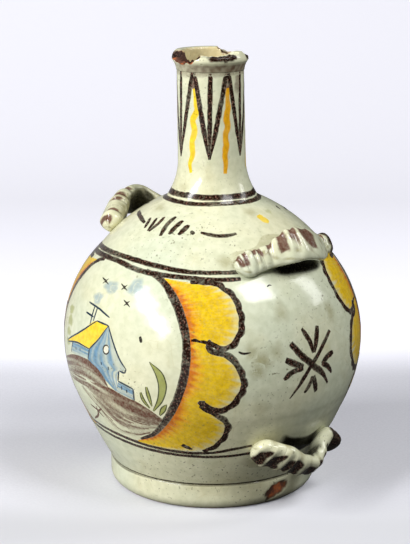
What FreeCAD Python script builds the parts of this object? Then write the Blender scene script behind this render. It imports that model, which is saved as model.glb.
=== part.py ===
import FreeCAD, Part
import math
import os
import Sketcher

# Pilgrim flask in tin-glazed earthenware, in millimetres.
# The Z axis is the axis of the wheel-thrown pieces, with the standing face at height zero.
# Two pairs of cord loops stand at +X and -X. Every piece is luted face to face to its neighbours.

doc = FreeCAD.newDocument("PilgrimFlask")

# Driving dimensions: lengths in millimetres, angles in degrees
SIZES = (
    # Foot ring
    ("foot_height", 12.8),
    ("foot_radius", 53.0),
    ("foot_edge_height", 4.5),
    ("foot_edge_inset", 3.0),
    ("foot_edge_arc", 6.0),
    ("foot_face", 9.0),
    # Lower bowl, from the foot to the lower joint of the belly
    ("bowl_rise", 39.2),
    ("bowl_ledge", 0.4),
    ("bowl_arc", 320.0),
    ("floor_thickness", 6.5),
    ("floor_inset", 10.6),
    ("floor_arc", 60.0),
    # Belly, in two rises that meet at its widest
    ("belly_radius", 76.2),
    ("belly_low_rise", 24.5),
    ("belly_low_inset", 4.2),
    ("belly_low_arc", 73.5),
    ("belly_high_rise", 45.5),
    ("belly_high_inset", 19.4),
    ("belly_high_arc", 63.0),
    ("wall", 5.5),
    # Shoulder dome
    ("dome_rise", 25.0),
    ("dome_arc", 86.0),
    ("dome_inner_arc", 80.0),
    ("dome_wall", 7.5),
    ("dome_crown", 4.5),
    # Neck, a flare below a slightly tapered tube
    ("neck_radius", 17.3),
    ("neck_flare", 6.3),
    ("neck_flare_rise", 20.0),
    ("neck_flare_arc", 33.0),
    ("neck_rise", 43.5),
    ("neck_taper", 0.4),
    ("neck_wall", 4.7),
    # Lip, a bulge with a rolled top
    ("lip_under_rise", 5.0),
    ("lip_flare", 2.1),
    ("lip_under_arc", 9.0),
    ("lip_roll_rise", 4.5),
    ("lip_roll", 2.0),
    ("lip_roll_arc", 5.5),
    # Broken parts of the lip, as hollows centred on the lip's edge
    ("chip_angle", -95.0),
    ("chip_across", 11.0),
    ("chip_inward", 6.7),
    ("chip_deep", 6.0),
    ("break_angle", 72.0),
    ("break_across", 15.0),
    ("break_inward", 10.5),
    ("break_deep", 3.6),
    ("wear_angle", -37.0),
    ("wear_across", 14.0),
    ("wear_inward", 9.0),
    ("wear_deep", 2.2),
    # Right shoulder loop
    ("right_shoulder_loop_share", 0.17),
    ("right_shoulder_loop_tilt_angle", 32.0),
    ("right_shoulder_loop_slant_angle", 1.0),
    ("right_shoulder_loop_spread_angle", 56.0),
    ("right_shoulder_loop_reach", 13.0),
    ("right_shoulder_loop_bend", 30.0),
    ("right_shoulder_loop_half_face", 6.2),
    # Left shoulder loop, set a little higher and steeper than the right one
    ("left_shoulder_loop_share", 0.28),
    ("left_shoulder_loop_tilt_angle", 34.0),
    ("left_shoulder_loop_slant_angle", 2.0),
    ("left_shoulder_loop_spread_angle", 56.0),
    ("left_shoulder_loop_reach", 14.2),
    ("left_shoulder_loop_bend", 30.0),
    ("left_shoulder_loop_half_face", 6.2),
    # Lower loops, which sag and slant
    ("lower_loop_share", 0.46),
    ("lower_loop_tilt_angle", -42.0),
    ("lower_loop_slant_angle", -7.0),
    ("lower_loop_spread_angle", 78.0),
    ("lower_loop_reach", 13.6),
    ("lower_loop_bend", 20.0),
    ("lower_loop_half_face", 5.0),
    # Section of every loop's coil, a flattened round, and its pressed end pads
    ("coil_half_edge", 2.6),
    ("coil_edge_arc", 2.8),
    ("coil_face_arc", 20.0),
    ("pad_thick", 7.0),
    ("pad_long", 9.5),
    ("pad_wide", 8.6),
)

sheet = doc.addObject("Spreadsheet::Sheet", "Sizes")
for row, (alias, size) in enumerate(SIZES, start=1):
    sheet.set("A%d" % row, alias)
    sheet.set("B%d" % row, str(size))
    sheet.setAlias("B%d" % row, alias)
doc.recompute()

SIGNS = {"+": 1, "-": -1}


def total(text):
    """Value of a sum of named sizes, such as "belly_radius - wall"."""
    sign = 1
    value = 0.0
    for word in text.split():
        if word in SIGNS:
            sign = SIGNS[word]
        else:
            value += sign * sheet.get(word)
    return value


def formula(text):
    """The same sum as an expression on the sheet."""
    return " ".join(word if word in SIGNS else "Sizes." + word for word in text.split())


def new_body(name):
    body = doc.addObject("PartDesign::Body", name)
    body.Label = name
    return body


def origin_plane(body, role):
    return next(plane for plane in body.Origin.OriginFeatures if plane.Role == role)


def arc_between(start, end, radius, side):
    """Arc from start to end, with its centre on the left for side 1 and on the right for side -1."""
    chord = end - start
    middle = (start + end) * 0.5
    normal = FreeCAD.Vector(-chord.y, chord.x, 0).normalize()
    centre = middle + normal * (side * math.sqrt(radius**2 - (chord.Length / 2)**2))
    first, last = (start, end) if side > 0 else (end, start)
    angles = [math.atan2(point.y - centre.y, point.x - centre.x) for point in (first, last)]
    return Part.ArcOfCircle(Part.Circle(centre, FreeCAD.Vector(0, 0, 1), radius), *angles)


def outline(body, corners):
    """Closed sketch on the body's XZ plane.

    Each corner is (radius, height, side): two sums of named sizes, where an empty one lies on the axis,
    and the side that leaves the corner, None for a straight one or (arc radius, 1 or -1).
    """
    sketch = body.newObject("Sketcher::SketchObject", body.Name + "_outline")
    sketch.AttachmentSupport = [(origin_plane(body, "XZ_Plane"), "")]
    sketch.MapMode = "FlatFace"
    points = [FreeCAD.Vector(total(radius), total(height), 0) for radius, height, _ in corners]
    ends = []
    for index, (_, _, side) in enumerate(corners):
        start = points[index]
        end = points[(index + 1) % len(points)]
        if side is None:
            sketch.addGeometry(Part.LineSegment(start, end))
            ends.append((1, 2))
        else:
            arc_text, turn = side
            sketch.addGeometry(arc_between(start, end, total(arc_text), turn))
            ends.append((1, 2) if turn > 0 else (2, 1))
    for index, (radius, height, side) in enumerate(corners):
        before = (index or len(corners)) - 1
        joint = (before, ends[before][1], index, ends[index][0])
        sketch.addConstraint(Sketcher.Constraint("Coincident", *joint))
        for kind, text, axis in (("DistanceX", radius, -2), ("DistanceY", height, -1)):
            if text:
                place = Sketcher.Constraint(kind, -1, 1, index, ends[index][0], total(text))
                bind(sketch, place, text)
            else:
                sketch.addConstraint(Sketcher.Constraint("PointOnObject", index, ends[index][0], axis))
        if side is not None:
            bind(sketch, Sketcher.Constraint("Radius", index, total(side[0])), side[0])
    return sketch


def bind(sketch, constraint, text):
    number = sketch.addConstraint(constraint)
    sketch.setExpression("Constraints[%d]" % number, formula(text))


def turned(name, corners):
    """A piece turned on the wheel: its outline revolved once about Z."""
    body = new_body(name)
    revolution = body.newObject("PartDesign::Revolution", name + "_turning")
    revolution.Profile = outline(body, corners)
    revolution.ReferenceAxis = (revolution.Profile[0], ["V_Axis"])
    revolution.Angle = 360
    return body


# Heights and outer radii where the vessel's pieces meet, each a sum of named sizes
BOWL_TOP = "foot_height + bowl_rise"
WIDEST = BOWL_TOP + " + belly_low_rise"
BELLY_TOP = WIDEST + " + belly_high_rise"
DOME_TOP = BELLY_TOP + " + dome_rise"
FLARE_TOP = DOME_TOP + " + neck_flare_rise"
NECK_TOP = FLARE_TOP + " + neck_rise"
LIP_BULGE = NECK_TOP + " + lip_under_rise"
LIP_TOP = LIP_BULGE + " + lip_roll_rise"
REST_RADIUS = "foot_radius - foot_edge_inset"
HOLLOW_RADIUS = REST_RADIUS + " - foot_face"
BOWL_BASE_RADIUS = "foot_radius - bowl_ledge"
BOWL_TOP_RADIUS = "belly_radius - belly_low_inset"
BELLY_TOP_RADIUS = "belly_radius - belly_high_inset"
DOME_TOP_RADIUS = "neck_radius + neck_flare"
BORE_RADIUS = "neck_radius - neck_wall"
NECK_TOP_RADIUS = "neck_radius - neck_taper"
LIP_RADIUS = NECK_TOP_RADIUS + " + lip_flare"
LIP_TOP_RADIUS = LIP_RADIUS + " - lip_roll"

# Vessel, from the standing face up
foot_ring = turned("foot_ring", (
    (HOLLOW_RADIUS, "", None),
    (REST_RADIUS, "", ("foot_edge_arc", 1)),
    ("foot_radius", "foot_edge_height", None),
    ("foot_radius", "foot_height", None),
    (HOLLOW_RADIUS, "foot_height", None),
))

lower_bowl = turned("lower_bowl", (
    ("", "foot_height", None),
    (BOWL_BASE_RADIUS, "foot_height", ("bowl_arc", 1)),
    (BOWL_TOP_RADIUS, BOWL_TOP, None),
    (BOWL_TOP_RADIUS + " - wall", BOWL_TOP, ("floor_arc", -1)),
    (BOWL_BASE_RADIUS + " - floor_inset", "foot_height + floor_thickness", None),
    ("", "foot_height + floor_thickness", None),
))

belly_wall = turned("belly_wall", (
    (BOWL_TOP_RADIUS, BOWL_TOP, ("belly_low_arc", 1)),
    ("belly_radius", WIDEST, ("belly_high_arc", 1)),
    (BELLY_TOP_RADIUS, BELLY_TOP, None),
    (BELLY_TOP_RADIUS + " - dome_wall", BELLY_TOP, ("belly_high_arc - wall", -1)),
    ("belly_radius - wall", WIDEST, ("belly_low_arc - wall", -1)),
    (BOWL_TOP_RADIUS + " - wall", BOWL_TOP, None),
))

shoulder_dome = turned("shoulder_dome", (
    (BELLY_TOP_RADIUS, BELLY_TOP, ("dome_arc", 1)),
    (DOME_TOP_RADIUS, DOME_TOP, None),
    (BORE_RADIUS, DOME_TOP, None),
    (BORE_RADIUS, DOME_TOP + " - dome_crown", ("dome_inner_arc", -1)),
    (BELLY_TOP_RADIUS + " - dome_wall", BELLY_TOP, None),
))

neck_tube = turned("neck_tube", (
    (BORE_RADIUS, DOME_TOP, None),
    (DOME_TOP_RADIUS, DOME_TOP, ("neck_flare_arc", -1)),
    ("neck_radius", FLARE_TOP, None),
    (NECK_TOP_RADIUS, NECK_TOP, None),
    (BORE_RADIUS, NECK_TOP, None),
))

lip_ring = turned("lip_ring", (
    (BORE_RADIUS, NECK_TOP, None),
    (NECK_TOP_RADIUS, NECK_TOP, ("lip_under_arc", -1)),
    (LIP_RADIUS, LIP_BULGE, ("lip_roll_arc", 1)),
    (LIP_TOP_RADIUS, LIP_TOP, None),
    (BORE_RADIUS, LIP_TOP, None),
))


def break_lip(name):
    """Scooped break in the lip: a hollow centred on its top edge, longest round the rim."""
    angle = formula(name + "_angle")
    hollow = lip_ring.newObject("PartDesign::SubtractiveEllipsoid", "lip_" + name)
    hollow.setExpression("Radius1", formula(name + "_deep"))
    hollow.setExpression("Radius2", formula(name + "_inward"))
    hollow.setExpression("Radius3", formula(name + "_across"))
    radius = formula(LIP_TOP_RADIUS)
    edge = "vector((%s) * cos(%s); (%s) * sin(%s); %s)" % (radius, angle, radius, angle, formula(LIP_TOP))
    hollow.setExpression("Placement", "placement(%s; rotation(%s; 0; 0))" % (edge, angle))


for damage in ("chip", "break", "wear"):
    break_lip(damage)

# Outer shape of the closed vessel, filled to its axis, against which the loops' ends are pressed
vessel_core = turned("vessel_core", (
    ("", "foot_height", None),
    (BOWL_BASE_RADIUS, "foot_height", ("bowl_arc", 1)),
    (BOWL_TOP_RADIUS, BOWL_TOP, ("belly_low_arc", 1)),
    ("belly_radius", WIDEST, ("belly_high_arc", 1)),
    (BELLY_TOP_RADIUS, BELLY_TOP, ("dome_arc", 1)),
    (DOME_TOP_RADIUS, DOME_TOP, None),
    ("", DOME_TOP, None),
))


# Cord loops
def cut_piece(name, base, tool):
    piece = doc.addObject("Part::Cut", name)
    piece.Base = base
    piece.Tool = tool
    piece.Label = name
    return piece


def coil_arch(name, kind, placement):
    """Flattened clay coil bent to an arc about the local Z axis, which is the centre of the bend."""
    body = new_body(name + "_coil")
    inner = kind + "_bend - coil_half_edge"
    outer = kind + "_bend + coil_half_edge"
    face = kind + "_half_face"
    bending = body.newObject("PartDesign::Revolution", name + "_bending")
    bending.Profile = outline(body, (
        (inner, "- " + face, ("coil_edge_arc", 1)),
        (outer, "- " + face, ("coil_face_arc", 1)),
        (outer, face, ("coil_edge_arc", 1)),
        (inner, face, ("coil_face_arc", 1)),
    ))
    bending.ReferenceAxis = (bending.Profile[0], ["V_Axis"])
    bending.Midplane = True
    bending.setExpression("Angle", "2 * Sizes.%s_spread_angle" % kind)
    body.setExpression("Placement", placement)
    return body


def end_pad(name, kind, placement, hand):
    """Lump of clay at one end of the coil, before it is pressed on the wall."""
    body = new_body(name + "_lump")
    lump = body.newObject("PartDesign::AdditiveEllipsoid", name + "_ellipsoid")
    lump.setExpression("Radius1", "Sizes.pad_wide")
    lump.setExpression("Radius2", "Sizes.pad_thick")
    lump.setExpression("Radius3", "Sizes.pad_long")
    lump.setExpression("Placement", "placement(vector(%s; %s; 0); rotation(%s; 0; 0))" % (
        "Sizes.%s_bend * cos(Sizes.%s_spread_angle)" % (kind, kind),
        "%d * Sizes.%s_bend * sin(Sizes.%s_spread_angle)" % (hand, kind, kind),
        "%d * Sizes.%s_spread_angle / 2" % (hand, kind)))
    body.setExpression("Placement", placement)
    return body


def seat(kind, low, high):
    """Place on the wall, a share of the way from one joint of the vessel to the next."""
    return "(%s + Sizes.%s_share * ((%s) - (%s)))" % (formula(low), kind, formula(high), formula(low))


def cord_loop(name, kind, seat_radius, seat_height, yaw, front):
    """An arch and its two end pads, standing out from a seat on the wall along the loop's own tilt.

    The front pad, towards -Y, lies on the loop's side 1 or -1.
    """
    out = "(Sizes.%s_reach - Sizes.%s_bend)" % (kind, kind)
    radius = "(%s + %s * cos(Sizes.%s_tilt_angle))" % (seat_radius, out, kind)
    height = "%s + %s * sin(Sizes.%s_tilt_angle)" % (seat_height, out, kind)
    turn = "rotation(%d; -Sizes.%s_tilt_angle; Sizes.%s_slant_angle)" % (yaw, kind, kind)
    centre = "vector(%s * cos(%d); %s * sin(%d); %s)" % (radius, yaw, radius, yaw, height)
    placement = "placement(%s; %s)" % (centre, turn)
    arch = coil_arch(name, kind, placement)
    ends = (("_front", front), ("_rear", -front))
    lumps = [end_pad(name + end, kind, placement, hand) for end, hand in ends]
    pads = [cut_piece(lump.Name.replace("_lump", "_pad"), lump, vessel_core) for lump in lumps]
    shortened = cut_piece(name + "_shortened", arch, lumps[0])
    return [cut_piece(name + "_arch", shortened, lumps[1])] + pads


loops = []
for side, yaw, front in (("right", 0, -1), ("left", 180, 1)):
    kind = side + "_shoulder_loop"
    radius = seat(kind, BELLY_TOP_RADIUS, DOME_TOP_RADIUS)
    loops += cord_loop(kind, kind, radius, seat(kind, BELLY_TOP, DOME_TOP), yaw, front)
    kind = "lower_loop"
    radius = seat(kind, BOWL_BASE_RADIUS, BOWL_TOP_RADIUS)
    height = seat(kind, "foot_height", BOWL_TOP)
    loops += cord_loop(side + "_lower_loop", kind, radius, height, yaw, front)

pieces = [foot_ring, lower_bowl, belly_wall, shoulder_dome, neck_tube, lip_ring] + loops

# Build, check and write
doc.recompute()
for item in doc.Objects:
    if "Invalid" in item.State or "Error" in item.State:
        raise RuntimeError("failed feature: " + item.Label)
for piece in pieces:
    if piece.Shape.isNull() or not piece.Shape.isValid() or len(piece.Shape.Solids) != 1:
        raise RuntimeError("bad solid: " + piece.Label)

os.makedirs("parts", exist_ok=True)
for piece in pieces:
    piece.Shape.exportStep("parts/%s.step" % piece.Label)
    print("%-32s volume %9.1f mm3" % (piece.Label, piece.Shape.Volume))
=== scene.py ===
import math

import bpy
import numpy as np
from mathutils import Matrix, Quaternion, Vector


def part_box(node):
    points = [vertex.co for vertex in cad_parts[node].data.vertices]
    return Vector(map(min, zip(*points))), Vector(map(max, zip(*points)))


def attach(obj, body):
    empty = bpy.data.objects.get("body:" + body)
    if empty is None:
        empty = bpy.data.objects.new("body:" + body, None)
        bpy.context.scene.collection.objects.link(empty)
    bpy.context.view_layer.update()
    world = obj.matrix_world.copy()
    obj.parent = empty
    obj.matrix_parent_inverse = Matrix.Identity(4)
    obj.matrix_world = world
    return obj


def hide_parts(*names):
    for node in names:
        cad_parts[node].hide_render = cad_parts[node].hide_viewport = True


# Pilgrim flask in tin-glazed earthenware: skin, hand-formed cord loops, broken lip and painted decoration.
# Lengths are in millimetres and angles in degrees unless a name or comment says otherwise.

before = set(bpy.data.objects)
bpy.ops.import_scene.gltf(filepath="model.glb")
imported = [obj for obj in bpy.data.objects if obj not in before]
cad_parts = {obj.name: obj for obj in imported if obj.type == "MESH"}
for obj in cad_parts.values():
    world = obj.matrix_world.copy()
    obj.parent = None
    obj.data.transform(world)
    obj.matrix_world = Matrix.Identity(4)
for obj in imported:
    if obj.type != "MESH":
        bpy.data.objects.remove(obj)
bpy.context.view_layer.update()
MM = 0.001
rng = np.random.default_rng(23)

# Photograph's camera: image size and focal length in pixels
IMAGE_WIDTH = 410
IMAGE_HEIGHT = 544
FOCAL = 1626.0
AXIS_COLUMN = 212.4
CAMERA_DISTANCE = 800.0
CAMERA_HEIGHT = 309.0
CAMERA_AZIMUTH = math.radians(45)
CAMERA_PITCH = math.radians(14.14)
TO_CAMERA = np.array((math.sin(CAMERA_AZIMUTH), -math.cos(CAMERA_AZIMUTH), 0.0))
TO_RIGHT = np.array((math.cos(CAMERA_AZIMUTH), math.sin(CAMERA_AZIMUTH), 0.0))
UP = np.array((0.0, 0.0, 1.0))


def to_pixels(points):
    """Columns, rows and depths of points in the photograph."""
    near = CAMERA_DISTANCE - points @ TO_CAMERA
    drop = CAMERA_HEIGHT - points[..., 2]
    depth = near * math.cos(CAMERA_PITCH) + drop * math.sin(CAMERA_PITCH)
    rise = near * math.sin(CAMERA_PITCH) - drop * math.cos(CAMERA_PITCH)
    column = AXIS_COLUMN + FOCAL * (points @ TO_RIGHT) / depth
    return column, IMAGE_HEIGHT / 2 - FOCAL * rise / depth, depth


def unit(value):
    """Values kept between 0 and 1."""
    return np.clip(value, 0, 1)


def turned(radius, angle, height):
    """Points at a radius, an angle in radians and a height about the axis."""
    return np.stack((radius * np.cos(angle), radius * np.sin(angle), height), axis=-1)


# Outline of the vessel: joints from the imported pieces, arcs between them
def top_of(node):
    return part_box(node)[1].z / MM


def reach_of(node):
    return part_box(node)[1].x / MM


FOOT_TOP = top_of("foot_ring")
FOOT_RADIUS = reach_of("foot_ring")
BOWL_LEDGE = 0.4
BELLY_LOW_RISE = 24.5
NECK_RADIUS = 17.3
NECK_FLARE_RISE = 20.0
NECK_TOP_RADIUS = 16.9
BORE_RADIUS = 12.6
BOWL_ARC = 320.0
BELLY_LOW_ARC = 73.5
BELLY_HIGH_ARC = 63.0
DOME_ARC = 86.0
FLARE_ARC = 33.0
BOWL_BASE = (FOOT_RADIUS - BOWL_LEDGE, FOOT_TOP)
BOWL_TOP = (reach_of("lower_bowl"), top_of("lower_bowl"))
WIDEST = (reach_of("belly_wall"), BOWL_TOP[1] + BELLY_LOW_RISE)
BELLY_TOP = (reach_of("shoulder_dome"), top_of("belly_wall"))
DOME_TOP = (reach_of("neck_tube"), top_of("shoulder_dome"))
FLARE_TOP = (NECK_RADIUS, DOME_TOP[1] + NECK_FLARE_RISE)
NECK_TOP = (NECK_TOP_RADIUS, top_of("neck_tube"))
LIP_RADIUS = reach_of("lip_ring")
LIP_TOP = top_of("lip_ring")


def arc(start, end, radius, side, steps=60):
    """Points on an arc from start to end. Side 1 has its centre on the left, and side -1 on the right."""
    start = np.array(start)
    end = np.array(end)
    chord = end - start
    half = np.hypot(*chord) / 2
    normal = np.array((-chord[1], chord[0])) / (2 * half)
    centre = (start + end) / 2 + normal * side * math.sqrt(radius**2 - half**2)
    first = math.atan2(*(start - centre)[::-1])
    last = math.atan2(*(end - centre)[::-1])
    if side * (last - first) < 0:
        last += side * 2 * math.pi
    angle = np.linspace(first, last, steps)
    return centre + radius * np.stack((np.cos(angle), np.sin(angle)), axis=1)


SECTIONS = {
    "lower_bowl": arc(BOWL_BASE, BOWL_TOP, BOWL_ARC, 1),
    "belly_wall": np.vstack((arc(BOWL_TOP, WIDEST, BELLY_LOW_ARC, 1),
                             arc(WIDEST, BELLY_TOP, BELLY_HIGH_ARC, 1)[1:])),
    "shoulder_dome": arc(BELLY_TOP, DOME_TOP, DOME_ARC, 1),
    "neck_tube": np.vstack((arc(DOME_TOP, FLARE_TOP, FLARE_ARC, -1), np.array((NECK_TOP,)))),
}
OUTLINE = np.vstack([SECTIONS["lower_bowl"]] + [points[1:] for points in list(SECTIONS.values())[1:]])
OUTLINE_RUN = np.concatenate(((0.0,), np.cumsum(np.hypot(*np.diff(OUTLINE, axis=0).T))))


def run_at(height):
    """Length along the outline, from the foot, at a height."""
    return np.interp(height, OUTLINE[:, 1], OUTLINE_RUN)


# Skin: the outer face of the vessel, by angle in radians and run along the outline
NECK_LEAN = np.array((-0.85, -0.85, 0.0))
SKIN_INSET = 0.36
WALL_LOBES = (
    # swell, count of lobes, phase in radians
    (0.15, 2, 0.6),
    (0.08, 3, 2.0),
)
FINE_RING_DEPTH = 0.018
FINE_RING_PITCH = 1.15
COARSE_RING_DEPTH = 0.024
COARSE_RING_PITCH = 1.9
NORMAL_TURN = 0.002
NORMAL_STEP = 0.25


def radius_at(run):
    return np.interp(run, OUTLINE_RUN, OUTLINE[:, 0])


def lean_at(height):
    share = unit((height - DOME_TOP[1]) / (LIP_TOP - DOME_TOP[1]))
    return share[..., None] * NECK_LEAN


def thrown(angle, run, radius):
    """Small unevenness of a pot thrown and turned by hand, never outside the true outline."""
    oval = sum(swell * np.cos(lobes * angle + phase) for swell, lobes, phase in WALL_LOBES)
    fine = FINE_RING_DEPTH * np.sin(run / FINE_RING_PITCH + 0.9 * np.sin(angle))
    coarse = COARSE_RING_DEPTH * np.sin(run / COARSE_RING_PITCH + 2 * np.cos(angle + 1))
    return oval * radius / WIDEST[0] + (fine + coarse) - SKIN_INSET


def skin(angle, run):
    radius = radius_at(run)
    radius = radius + thrown(angle, run, radius)
    height = np.interp(run, OUTLINE_RUN, OUTLINE[:, 1])
    return turned(radius, angle, height) + lean_at(height)


def skin_normal(angle, run):
    around = skin(angle + NORMAL_TURN, run) - skin(angle - NORMAL_TURN, run)
    upward = skin(angle, run + NORMAL_STEP) - skin(angle, run - NORMAL_STEP)
    normal = np.cross(around, upward)
    return normal / np.linalg.norm(normal, axis=-1, keepdims=True)


# Where a pixel of the photograph lies on the skin
GRID_FIRST_RUN = 0.5
GRID_RUN_STEP = 0.8
GRID_TURNS = np.radians(np.arange(-180, 180, 1.0))
GRID_RUNS = np.arange(GRID_FIRST_RUN, OUTLINE_RUN[-1], GRID_RUN_STEP)
GRID_ANGLE, GRID_RUN = np.meshgrid(GRID_TURNS, GRID_RUNS)
GRID_POINTS = skin(GRID_ANGLE, GRID_RUN)
GRID_COLUMN, GRID_ROW, GRID_DEPTH = to_pixels(GRID_POINTS)
CAMERA_POINT = CAMERA_DISTANCE * TO_CAMERA + CAMERA_HEIGHT * UP
GRID_FACING = np.sum(skin_normal(GRID_ANGLE, GRID_RUN) * (CAMERA_POINT - GRID_POINTS), axis=-1) > 0
NEAR_PIXELS = 3.0
PROBE = np.array((0.002, 0.1))
PROBE_LIMIT = np.array((0.05, 2.0))
PROBE_ROUNDS = 6


def on_skin(column, row):
    """Angle and run of one pixel: the nearest facing point of a grid, then a few of Newton's steps."""
    apart = np.hypot(GRID_COLUMN - column, GRID_ROW - row) + np.where(GRID_FACING, 0, np.inf)
    close = apart < NEAR_PIXELS
    best = np.argmin(np.where(close, GRID_DEPTH, np.inf)) if close.any() else np.argmin(apart)
    place = np.array((GRID_ANGLE.flat[best], GRID_RUN.flat[best]))
    if not close.any():
        return place
    steps = np.vstack((np.zeros(2), np.diag(PROBE)))
    for _ in range(PROBE_ROUNDS):
        tries = place + steps
        columns, rows, _ = to_pixels(skin(tries[:, 0], tries[:, 1]))
        slope = np.array(((columns[1:] - columns[0]) / PROBE, (rows[1:] - rows[0]) / PROBE))
        if abs(np.linalg.det(slope)) < 1:
            break
        change = np.linalg.solve(slope, (column - columns[0], row - rows[0]))
        place = place + np.clip(change, -PROBE_LIMIT, PROBE_LIMIT)
    return place


def trace(*pixels):
    """Path on the skin through pixels of the photograph."""
    return np.array([on_skin(*pixel) for pixel in pixels])


# Meshes
def new_piece(name, points, faces, values=None, normals=None):
    """Mesh object from points in millimetres, with smooth faces and named values for each point."""
    mesh = bpy.data.meshes.new(name)
    mesh.from_pydata((np.asarray(points) * MM).tolist(), [], [list(face) for face in faces])
    mesh.polygons.foreach_set("use_smooth", np.ones(len(mesh.polygons), bool))
    for key, numbers in (values or {}).items():
        numbers = np.asarray(numbers, np.float32)
        if numbers.ndim == 2:
            colours = np.hstack((numbers, np.ones((len(numbers), 1), np.float32)))
            mesh.attributes.new(key, "FLOAT_COLOR", "POINT").data.foreach_set("color", colours.ravel())
        else:
            mesh.attributes.new(key, "FLOAT", "POINT").data.foreach_set("value", numbers)
    mesh.update()
    if normals is not None:
        own = np.empty(len(mesh.vertices) * 3, np.float32)
        mesh.vertex_normals.foreach_get("vector", own)
        own = own.reshape(-1, 3)
        known = ~np.isnan(normals[:, 0])
        own[known] = normals[known]
        mesh.normals_split_custom_set_from_vertices(own.tolist())
    piece = bpy.data.objects.new(name, mesh)
    bpy.context.scene.collection.objects.link(piece)
    return piece


def finish_piece(piece, material, *nodes):
    piece.data.materials.append(material)
    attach(piece, "root")
    if nodes:
        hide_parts(*nodes)


def lattice(rows, columns, wrap_rows=False, wrap_columns=False):
    """Quads of a lattice of points, numbered row by row."""
    index = np.arange(rows * columns).reshape(rows, columns)
    if wrap_rows:
        index = np.vstack((index, index[:1]))
    if wrap_columns:
        index = np.hstack((index, index[:, :1]))
    corners = (index[:-1, :-1], index[:-1, 1:], index[1:, 1:], index[1:, :-1])
    return np.stack(corners, axis=-1).reshape(-1, 4)


def fan(ring, pole):
    """Triangles from a ring of point numbers to one pole."""
    return np.stack((ring, np.roll(ring, -1), np.full(len(ring), pole)), axis=-1)


PITCH_SHARES = (0.35, 1.0)


def waves(count, longest):
    """A fixed random mix of sine waves over two coordinates, about -1 to 1."""
    pitch = rng.uniform(*PITCH_SHARES, (count, 2)) * 2 * math.pi / longest * rng.choice((-1, 1), (count, 2))
    phase = rng.uniform(0, 2 * math.pi, count)

    def mix(across, along):
        return sum(np.sin(a * across + b * along + c) for (a, b), c in zip(pitch, phase)) / math.sqrt(count)

    return mix


# Glaze, paint and bare clay, all in one material
GLAZE_CREAM = (0.79, 0.77, 0.535)
GLAZE_GREEN = (0.67, 0.705, 0.535)
GLAZE_STAIN = (0.50, 0.43, 0.19)
SPECK = (0.13, 0.115, 0.06)
MAUVE = (0.20, 0.100, 0.070)
CLAY_LIGHT = (0.47, 0.125, 0.032)
CLAY_DARK = (0.10, 0.035, 0.018)
MOTTLE_TINT = (0.86, 0.87, 0.83)
BRUSH_TINT = (0.80, 0.76, 0.70)
STAIN_STRENGTH = 0.42
CRACKLE_STRENGTH = 0.25
SPECK_STRENGTH = 0.75
GLAZE_SHINE = 0.5
PAINT_SHINE_LOSS = 0.2
GLAZE_ROUGHNESS = 0.08
GLAZE_ROUGHNESS_NOISE = 0.16
CLAY_ROUGHNESS = 0.62
BUMP_STRENGTH = 0.22
BUMP_METRES = 0.0004
CRACKLE_SCALE = 120.0
CRACKLE_WIDTH = 0.022
PIT_SCALE = 95.0
PIT_EDGES = (0.085, 0.05)
PIT_CHOICES = (0.86, 0.88)
EDGE_RAGGEDNESS = 0.9
GRAIN_RAGGEDNESS = 2.0
FULL_EDGE = 1.16
CLAY_GRIT = 1.2
GLAZE_GRIT = 0.05

# Noises: scale per metre and detail, then for blotches where their soft edge begins and ends, and distortion
TONE = (15.0, 3.0, 0.36, 0.66)
STAINED = (34.0, 6.0, 0.54, 0.80, 0.8)
MOTTLED = (300.0, 5.0, 0.25, 0.75)
CRACKLED = (30.0, 2.0, 0.45, 0.65)
CLAY_MIXED = (210.0, 4.0, 0.40, 0.60)
BRUSHED = (420.0, 3.0, 0.3, 0.72)
GRAINED = (1150.0, 2.0, 0.56, 0.68)
DIRTY = (24.0, 3.0, 0.40, 0.68)
SPECKLED = (760.0, 1.0, 0.65, 0.73)
RAGGED_NOISE = (800.0, 3.0)
GLOSS_NOISE = (60.0, 3.0)
WAVY_NOISE = (140.0, 2.0)
GRIT_NOISE = (900.0, 2.0)


class Tree:
    """Short ways to add shader nodes."""

    def __init__(self, material):
        self.nodes = material.node_tree.nodes
        self.links = material.node_tree.links

    def put(self, socket, value):
        if hasattr(value, "is_output"):
            self.links.new(value, socket)
        elif isinstance(value, tuple) and len(value) == 3 and socket.type == "RGBA":
            socket.default_value = (*value, 1.0)
        else:
            socket.default_value = value

    def add(self, kind, inputs=(), **settings):
        node = self.nodes.new(kind)
        for key, value in settings.items():
            setattr(node, key, value)
        for key, value in dict(inputs).items():
            self.put(node.inputs[key], value)
        return node

    def noise(self, where, scale, detail, distortion=0.0):
        inputs = {"Vector": where, "Scale": scale, "Detail": detail, "Distortion": distortion}
        return self.add("ShaderNodeTexNoise", inputs).outputs["Fac"]

    def between(self, value, low, high):
        """Smooth step from 0 at low to 1 at high."""
        inputs = {"Value": value, "From Min": low, "From Max": high}
        return self.add("ShaderNodeMapRange", inputs, interpolation_type="SMOOTHSTEP").outputs["Result"]

    def blotches(self, where, scale, detail, low, high, distortion=0.0):
        """Soft-edged blotches where a noise rises from low to high."""
        return self.between(self.noise(where, scale, detail, distortion), low, high)

    def calculate(self, operation, first, second):
        return self.add("ShaderNodeMath", {0: first, 1: second}, operation=operation).outputs[0]

    def times(self, first, second):
        return self.calculate("MULTIPLY", first, second)

    def plus(self, first, second):
        return self.calculate("ADD", first, second)

    def minus(self, first, second):
        return self.calculate("SUBTRACT", first, second)

    def mix(self, share, first, second, blend="MIX"):
        node = self.add("ShaderNodeMix", data_type="RGBA", blend_type=blend)
        for socket, value in ((node.inputs[0], share), (node.inputs[6], first), (node.inputs[7], second)):
            self.put(socket, value)
        return node.outputs[2]

    def value(self, name, output="Fac"):
        return self.add("ShaderNodeAttribute", attribute_name=name).outputs[output]


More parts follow.
